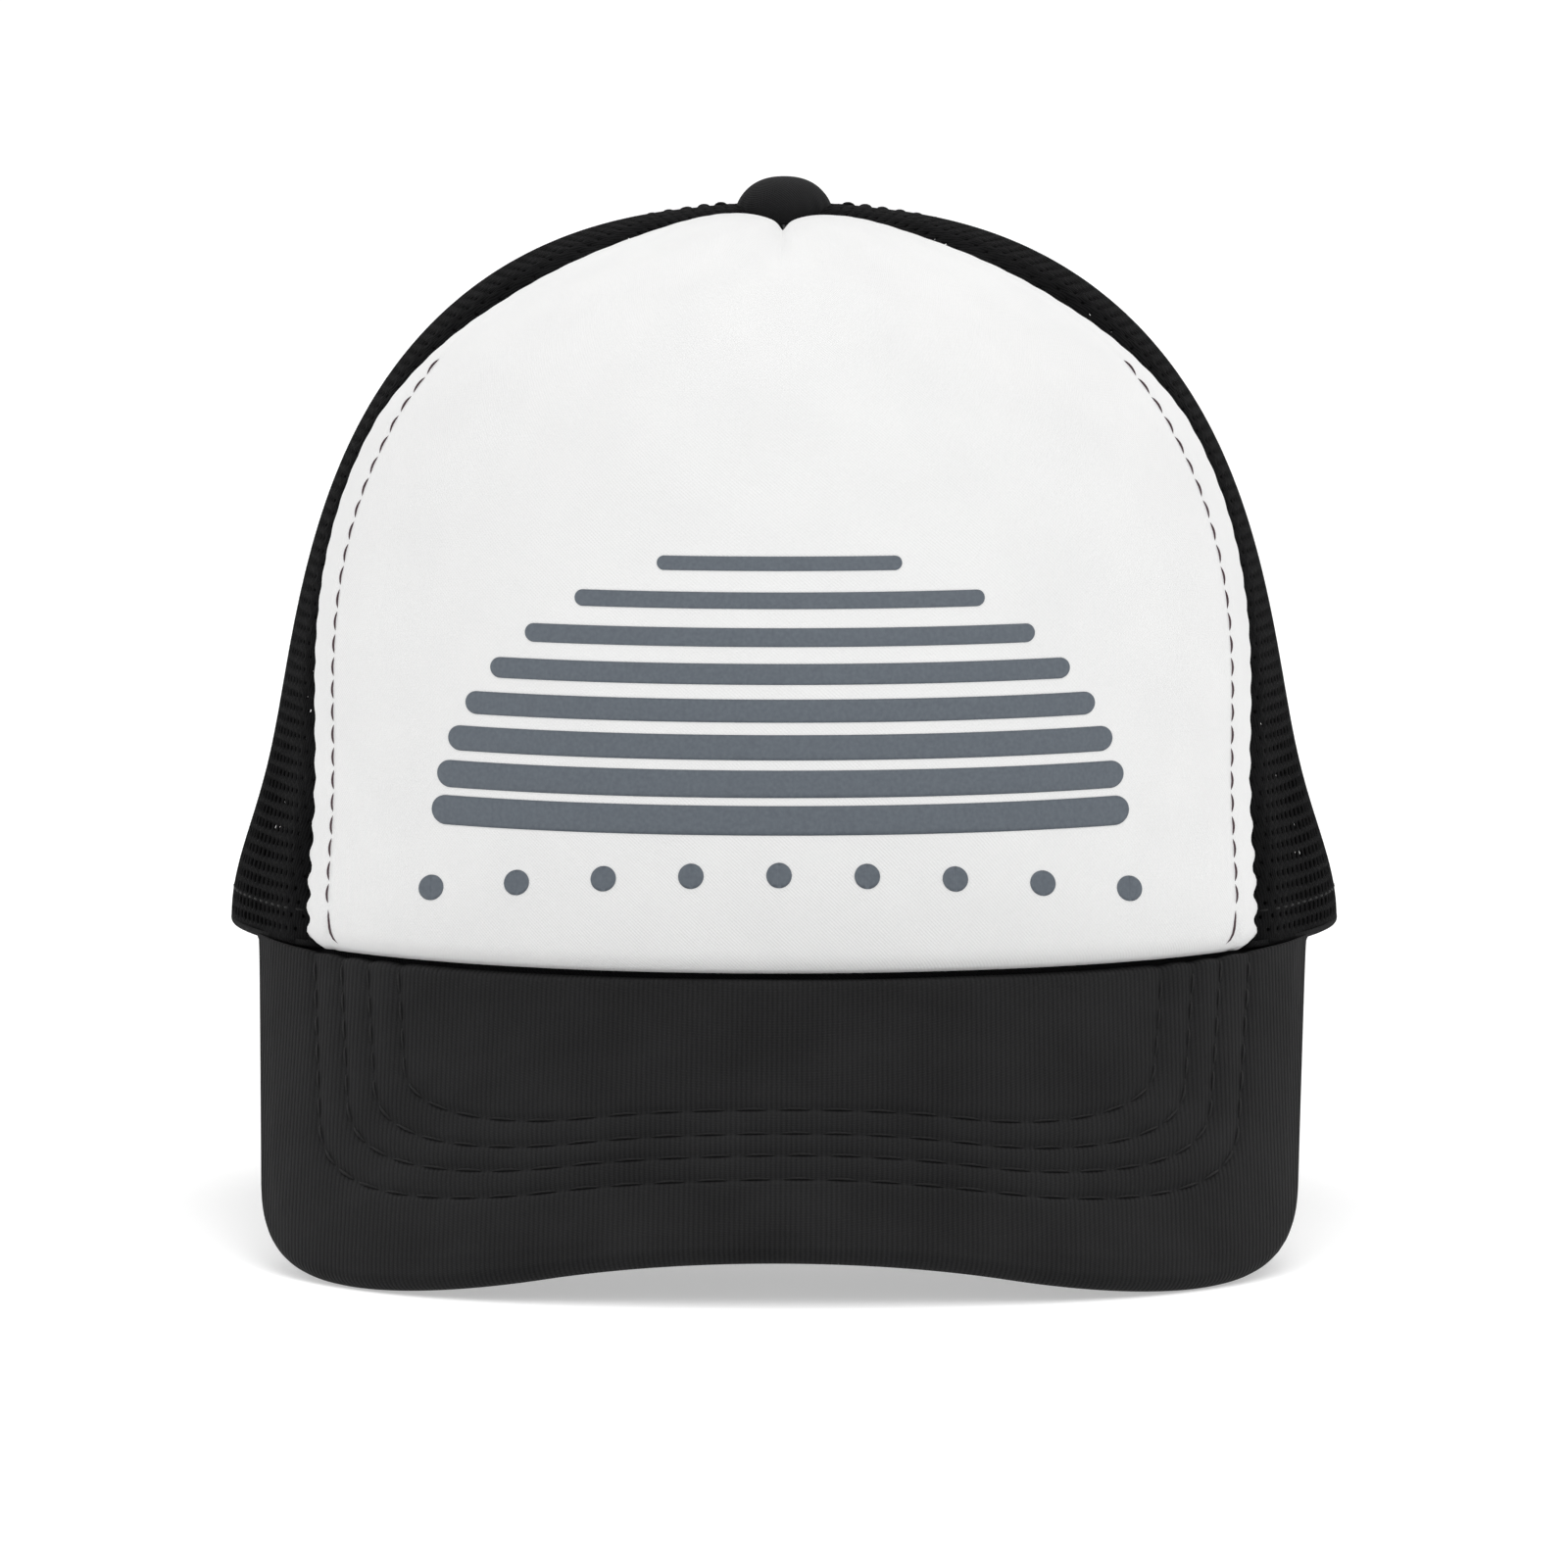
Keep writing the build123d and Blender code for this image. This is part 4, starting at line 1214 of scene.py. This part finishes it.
top_lines, under_lines = [], []
for inset in STITCH_ROWS:
    flat = stitch_row(inset)
    top_lines.append(bill_point(flat, bill_relief(0.0, TOP_RELIEF) + bill_ripple(flat) + 0.08))
    point, normal = bill_point(flat, -(UNDER_FACE + bill_relief(0.0, UNDER_RELIEF)) - 0.08)
    under_lines.append((point, -normal))
stitch_piece("bill_stitches", top_lines, BILL_STITCH)
stitch_piece("bill_under_stitches", under_lines, BILL_STITCH)

board_flat = bill_flat(np.linspace(0.07, 1, 60), EDGE_RADIUS + 0.4)
board_grids = [bill_point(board_flat, -depth)[0] for depth in BOARD_DEPTHS]
board = sheet_piece("bill_board_sheet", *board_grids, board_white, "bill_board", cloth=board_flat)
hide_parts("bill_board")


# ---------------------------------------------------------------- button
BUTTON_TOP = node_box("button_cover")[1][2]
BUTTON_RADIUS = node_box("button_cover")[1][0] + 0.25
BUTTON_FOOT, BUTTON_TUCK = 119.9, 1.6
GATHERS, GATHER_DEPTH = 18, 0.10

button_turn = np.linspace(0, TAU, 144, endpoint=False)[None]
swing = np.linspace(0.02, math.pi * 0.62, 44)[:, None]
dome_height = BUTTON_TOP - BUTTON_FOOT - BUTTON_TUCK
button_z = BUTTON_TOP - dome_height * (1 - np.sign(np.cos(swing)) * np.abs(np.cos(swing)) ** 1.15)
gather = GATHER_DEPTH * ramp(swing, 0.9, 1.5) * np.cos(GATHERS * button_turn)
button_radius = BUTTON_RADIUS * np.sin(swing) ** 0.86 + gather
compass = np.stack([np.cos(button_turn), np.sin(button_turn)], -1)
button_shape = np.concatenate([button_radius[..., None] * compass, (button_z + 0 * gather)[..., None]], -1)
button_cap = tube_piece(
    "button_cloth", button_shape, button_black, cloth=8 * swing[..., None] * compass
)
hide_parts("button_cover")
for node in ("button_shell", "button_rivet", "button_backing"):
    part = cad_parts[node]
    part.data.materials.clear()
    part.data.materials.append(steel)


# ---------------------------------------------------------------- snap closure
STRAP_THICKNESS, STRAP_EDGE = 1.2, 0.22
STRAP_FOOT, STRAP_HEAD = node_box("hole_strap")[0][2], node_box("hole_strap")[1][2]
STRAP_MIDDLE = (STRAP_FOOT + STRAP_HEAD) / 2
STRAP_CORNER, STRAP_TAIL_CORNER = 6.5, 1.5
# angles from the rear, in degrees: a strap's free end, the bend, and its sewn end
STRAP_END, HINGE, SEWN_END = 12.3, 23.5, 33.0
BLEND_HALF, SEWN_FLARE = 1.0, 3.2
SNAP_PITCH, SNAP_COUNT, FIRST_SNAP = 4.8, 7, -9.6
HOLE_STRAP_RADIUS, PEG_STRAP_RADIUS = 90.0, 88.5
STRAP_STITCH_ANGLES = (27.5, 30.5)
ROUND_SIDES = 28
# moulded shapes in section, as (radius, height above the strap's face)
HOLE_RADIUS = 2.3
HOLE_RING = HOLE_RADIUS * np.array([1, 0]) + [
    (0.15, -0.3), (0.15, 0.1), (0.35, 0.25), (0.8, 0.25), (1.05, 0.08), (1.1, -0.3)
]
PEG = np.array(
    [
        (3.0, -0.3), (3.0, 0.1), (2.8, 0.25), (1.8, 0.27), (1.4, 0.45), (1.35, 0.8),
        (1.68, 1.05), (1.7, 1.25), (1.45, 1.55), (0.9, 1.68), (0.15, 1.7),
    ]
)


def plate(length, holes):
    """Flat moulded strap as vertices (along, up, thickness) and faces, cut across every 2 mm to bend."""
    half = (STRAP_HEAD - STRAP_FOOT) / 2

    def arc(x, y, radius, first, sweep=math.pi / 2, count=10, whole=False):
        at = first + np.linspace(0, sweep, count, endpoint=not whole)
        return np.stack([x + radius * np.cos(at), y + radius * np.sin(at)], -1)

    lead, tail = STRAP_CORNER, STRAP_TAIL_CORNER
    outline = [
        arc(lead, lead - half, lead, math.pi),
        arc(length - tail, tail - half, tail, 1.5 * math.pi),
        arc(length - tail, half - tail, tail, 0),
        arc(lead, half - lead, lead, math.pi / 2),
    ]
    loops = [np.concatenate(outline)]
    loops += [arc(x, 0, HOLE_RADIUS, 0, TAU, ROUND_SIDES, whole=True) for x in holes]
    curve = bpy.data.curves.new("plate", "CURVE")
    curve.dimensions = "2D"
    curve.fill_mode = "BOTH"
    curve.extrude = STRAP_THICKNESS / 2 - STRAP_EDGE
    curve.bevel_depth = STRAP_EDGE
    curve.bevel_resolution = 2
    curve.offset = -STRAP_EDGE
    for loop in loops:
        spline = curve.splines.new("POLY")
        spline.points.add(len(loop) - 1)
        spline.points.foreach_set("co", np.pad(loop, ((0, 0), (0, 2))).ravel())
        spline.use_cyclic_u = True
    maker = bpy.data.objects.new("plate", curve)
    flat_mesh = bpy.data.meshes.new_from_object(maker)
    shape = bmesh.new()
    shape.from_mesh(flat_mesh)
    bmesh.ops.remove_doubles(shape, verts=shape.verts, dist=1e-4)
    for x in np.arange(2.0, length, 2.0):
        everything = shape.verts[:] + shape.edges[:] + shape.faces[:]
        bmesh.ops.bisect_plane(shape, geom=everything, dist=1e-5, plane_co=(x, 0, 0), plane_no=(1, 0, 0))
    bmesh.ops.triangulate(shape, faces=shape.faces)
    shape.verts.index_update()
    vertices = np.array([v.co for v in shape.verts])
    faces = [[v.index for v in f.verts] for f in shape.faces]
    shape.free()
    bpy.data.objects.remove(maker)
    bpy.data.curves.remove(curve)
    bpy.data.meshes.remove(flat_mesh)
    return vertices, faces


def turned(profile):
    """Points of a profile of (radius, height) pairs turned right round."""
    turn = np.linspace(0, TAU, ROUND_SIDES, endpoint=False)
    x = profile[:, :1] * np.cos(turn)
    return np.stack([x, profile[:, :1] * np.sin(turn), profile[:, 1:] + 0 * x], -1).reshape(-1, 3)


def peg(x):
    """A peg on the strap's outer face: a turned shape closed at both ends."""
    last = (len(PEG) - 1) * ROUND_SIDES
    faces = grid_faces(len(PEG), ROUND_SIDES, wrap=True, flip=True).tolist()
    faces += [face[::-1] for face in end_faces(0, last, ROUND_SIDES)]
    return turned(PEG) + (x, 0, STRAP_THICKNESS / 2), faces


def hole_ring(x, face_side):
    """The raised ring round a hole, on the strap's outer face (1) or inner face (-1)."""
    faces = []
    for k in range(len(HOLE_RING)):
        n = (k + 1) % len(HOLE_RING)
        for c in range(ROUND_SIDES):
            m = (c + 1) % ROUND_SIDES
            face = [k * ROUND_SIDES + c, n * ROUND_SIDES + c, n * ROUND_SIDES + m, k * ROUND_SIDES + m]
            faces.append(face[::-face_side])
    return turned(HOLE_RING) * (1, 1, face_side) + (x, 0, face_side * STRAP_THICKNESS / 2), faces


def sewn_flare(degrees):
    """How far a strap stands out from its arc, which it does only between its bend and its sewn end."""
    lean = ramp(degrees, HINGE + 0.6, SEWN_END)
    return SEWN_FLARE * lean * lean * (3 - 2 * lean)


def on_arc(side, far, angle, z):
    """A point of a strap's arc, with the angle measured from the rear."""
    x, y = side * far * np.sin(angle), RIM_CENTRE_Y + far * np.cos(angle)
    return np.stack(np.broadcast_arrays(x, y, z), -1)


def strap_piece(name, radius, side, body, pegs):
    """A snap strap with its sewn end. side is +1 where it is sewn on the wearer's left."""
    scale = math.radians(radius)
    snaps = [(FIRST_SNAP + SNAP_PITCH * k + STRAP_END) * scale for k in range(SNAP_COUNT)]
    parts = [plate((SEWN_END + STRAP_END) * scale, [] if pegs else snaps)]
    for x in snaps:
        parts += [peg(x)] if pegs else [hole_ring(x, 1), hole_ring(x, -1)]
    faces, count = [], 0
    for points, part_faces in parts:
        faces += [[count + v for v in face][::side] for face in part_faces]
        count += len(points)
    flat = np.concatenate([points for points, _ in parts])
    angle = np.radians(flat[:, 0] / scale - STRAP_END)
    far = radius + flat[:, 2] + sewn_flare(np.degrees(angle))
    place = on_arc(side, far, angle, flat[:, 1] + STRAP_MIDDLE)
    strap = make_piece(name, place, faces, strap_black, body=None)
    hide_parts(body, f"{body}_sewn_end")
    # the moulding's faces stay flat between their rounded edges
    strap.data.set_sharp_from_angle(angle=math.radians(40))
    start, end = (
        tuple(MM * on_arc(side, radius, math.radians(bend), STRAP_MIDDLE))
        for bend in (HINGE + BLEND_HALF, HINGE - BLEND_HALF)
    )
    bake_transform(strap)


strap_piece("strap_with_holes", HOLE_STRAP_RADIUS, 1, "hole_strap", pegs=False)
strap_piece("strap_with_pegs", PEG_STRAP_RADIUS, -1, "peg_strap", pegs=True)

strap_lines = []
for side, radius in ((1, HOLE_STRAP_RADIUS), (-1, PEG_STRAP_RADIUS)):
    for degrees in STRAP_STITCH_ANGLES:
        far = radius + sewn_flare(degrees) - STRAP_THICKNESS / 2 - 0.05
        angle = math.radians(degrees)
        path = on_arc(side, far, angle, np.linspace(STRAP_FOOT + 1.5, STRAP_HEAD - 1.5, 30))
        out = np.array([-side * math.sin(angle), -math.cos(angle), 0]) + 0 * path
        strap_lines.append((path, out))
stitch_piece("strap_end_stitches", strap_lines, STRAP_STITCH)


# ---------------------------------------------------------------- care label
LABEL_WIDE, LABEL_TALL, LABEL_THICK = 26.0, 16.0, 0.35
LABEL_STITCH_ROW = 22
label_low, label_high = node_box("care_label")
label_middle = (label_low + label_high) / 2
label_turn = math.atan2(label_middle[0], -label_middle[1])
label_radius = math.hypot(label_middle[0], label_middle[1])
label_out = np.array([math.sin(label_turn), -math.cos(label_turn), 0])
label_along = np.array([math.cos(label_turn), math.sin(label_turn), 0])

across, up = np.meshgrid(np.linspace(-1, 1, 41), np.linspace(-1, 1, 25))
curl = 0.45 * across**2 * np.clip(0.2 - up, 0, 2) - 0.25 * np.sin(2.6 * across + 1) * np.clip(-up, 0, 1)
label_flat = np.stack([across * LABEL_WIDE / 2, up * LABEL_TALL / 2], -1)
label_grids = []
for thick in (LABEL_THICK / 2, -LABEL_THICK / 2):
    grid = (label_radius - curl + thick)[..., None] * label_out + label_flat[..., :1] * label_along
    grid[..., 2] = label_flat[..., 1] + label_middle[2]
    label_grids.append(grid)
label_back, label_front = label_grids
care_label = sheet_piece(
    "care_label_sheet", label_front, label_back, label_white, "label_satin", cloth=label_flat
)
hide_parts("care_label")
label_path = label_front[LABEL_STITCH_ROW] - 0.05 * label_out
stitch_piece("care_label_stitches", [(label_path, 0 * label_path - label_out)], LABEL_STITCH)


# ---------------------------------------------------------------- camera, light and floor
CAMERA_DISTANCE, CAMERA_RISE, CAMERA_TURN = 2.0, math.radians(5.0), math.radians(0.5)
CAMERA_LENS, SENSOR_WIDTH = 266.4, 36.0
AIM = (0.0, 0.0, 0.0229)
# lights, as (name, place, point lit, size, power), in metres and watts
LIGHTS = (
    ("key", (0.8, -1.6, 1.7), (0, 0, 0.03), 1.4, 11),
    ("fill", (-1.6, -1.3, 0.9), (0, 0, 0.03), 1.6, 3),
    ("top", (0, 0.3, 1.9), (0, 0, 0.05), 1.6, 12),
)
STUDIO_BRIGHTNESS = 0.72
# the floor sweeps up behind the object, as (y, height), in metres
SWEEP = [(-6, 0), (2.0, 0), (2.6, 0.12), (3.0, 0.5), (3.2, 1.2), (3.2, 5.0)]
FLOOR_HALF_WIDTH, FLOOR_GAP = 6, 0.0002
FLOOR_LOOK = {
    "Base Color": (0.72, 0.72, 0.72, 1),
    "Roughness": 0.9,
    "Specular IOR Level": 0.1,
    "Emission Color": (1, 1, 1, 1),
    "Emission Strength": 0.42,
}


def look(obj, at):
    """Turns a camera or light towards a point in metres."""
    obj.rotation_mode = "QUATERNION"
    obj.rotation_quaternion = (Vector(at) - obj.location).to_track_quat("-Z", "Y")


scene = bpy.context.scene
scene.view_settings.view_transform = "Standard"

camera_data = bpy.data.cameras.new("camera")
camera_data.lens = CAMERA_LENS
camera_data.sensor_width = SENSOR_WIDTH
camera_data.clip_end = 50
camera = bpy.data.objects.new("camera", camera_data)
scene.collection.objects.link(camera)
camera.location = (
    AIM[0] + CAMERA_DISTANCE * math.cos(CAMERA_RISE) * math.sin(CAMERA_TURN),
    AIM[1] - CAMERA_DISTANCE * math.cos(CAMERA_RISE) * math.cos(CAMERA_TURN),
    AIM[2] + CAMERA_DISTANCE * math.sin(CAMERA_RISE),
)
look(camera, AIM)
scene.camera = camera

for name, place, at, size, power in LIGHTS:
    lamp = bpy.data.lights.new(name, "AREA")
    lamp.size = size
    lamp.energy = power
    light = bpy.data.objects.new(name, lamp)
    scene.collection.objects.link(light)
    light.location = place
    look(light, at)

floor_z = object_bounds()[0].z - FLOOR_GAP
floor_mesh = bpy.data.meshes.new("floor")
floor_points = [(x, y, z + floor_z) for y, z in SWEEP for x in (-FLOOR_HALF_WIDTH, FLOOR_HALF_WIDTH)]
floor_faces = [(2 * k, 2 * k + 1, 2 * k + 3, 2 * k + 2) for k in range(len(SWEEP) - 1)]
floor_mesh.from_pydata(floor_points, [], floor_faces)
floor_mesh.polygons.foreach_set("use_smooth", [True] * len(floor_faces))
floor = bpy.data.objects.new("floor", floor_mesh)
scene.collection.objects.link(floor)
floor_material = bpy.data.materials.new("floor")
floor_material.use_nodes = True
for socket, value in FLOOR_LOOK.items():
    floor_material.node_tree.nodes["Principled BSDF"].inputs[socket].default_value = value
floor_mesh.materials.append(floor_material)

world = bpy.data.worlds.new("studio")
world.use_nodes = True
world.node_tree.nodes["Background"].inputs[0].default_value = (1, 1, 1, 1)
world.node_tree.nodes["Background"].inputs[1].default_value = STUDIO_BRIGHTNESS
scene.world = world
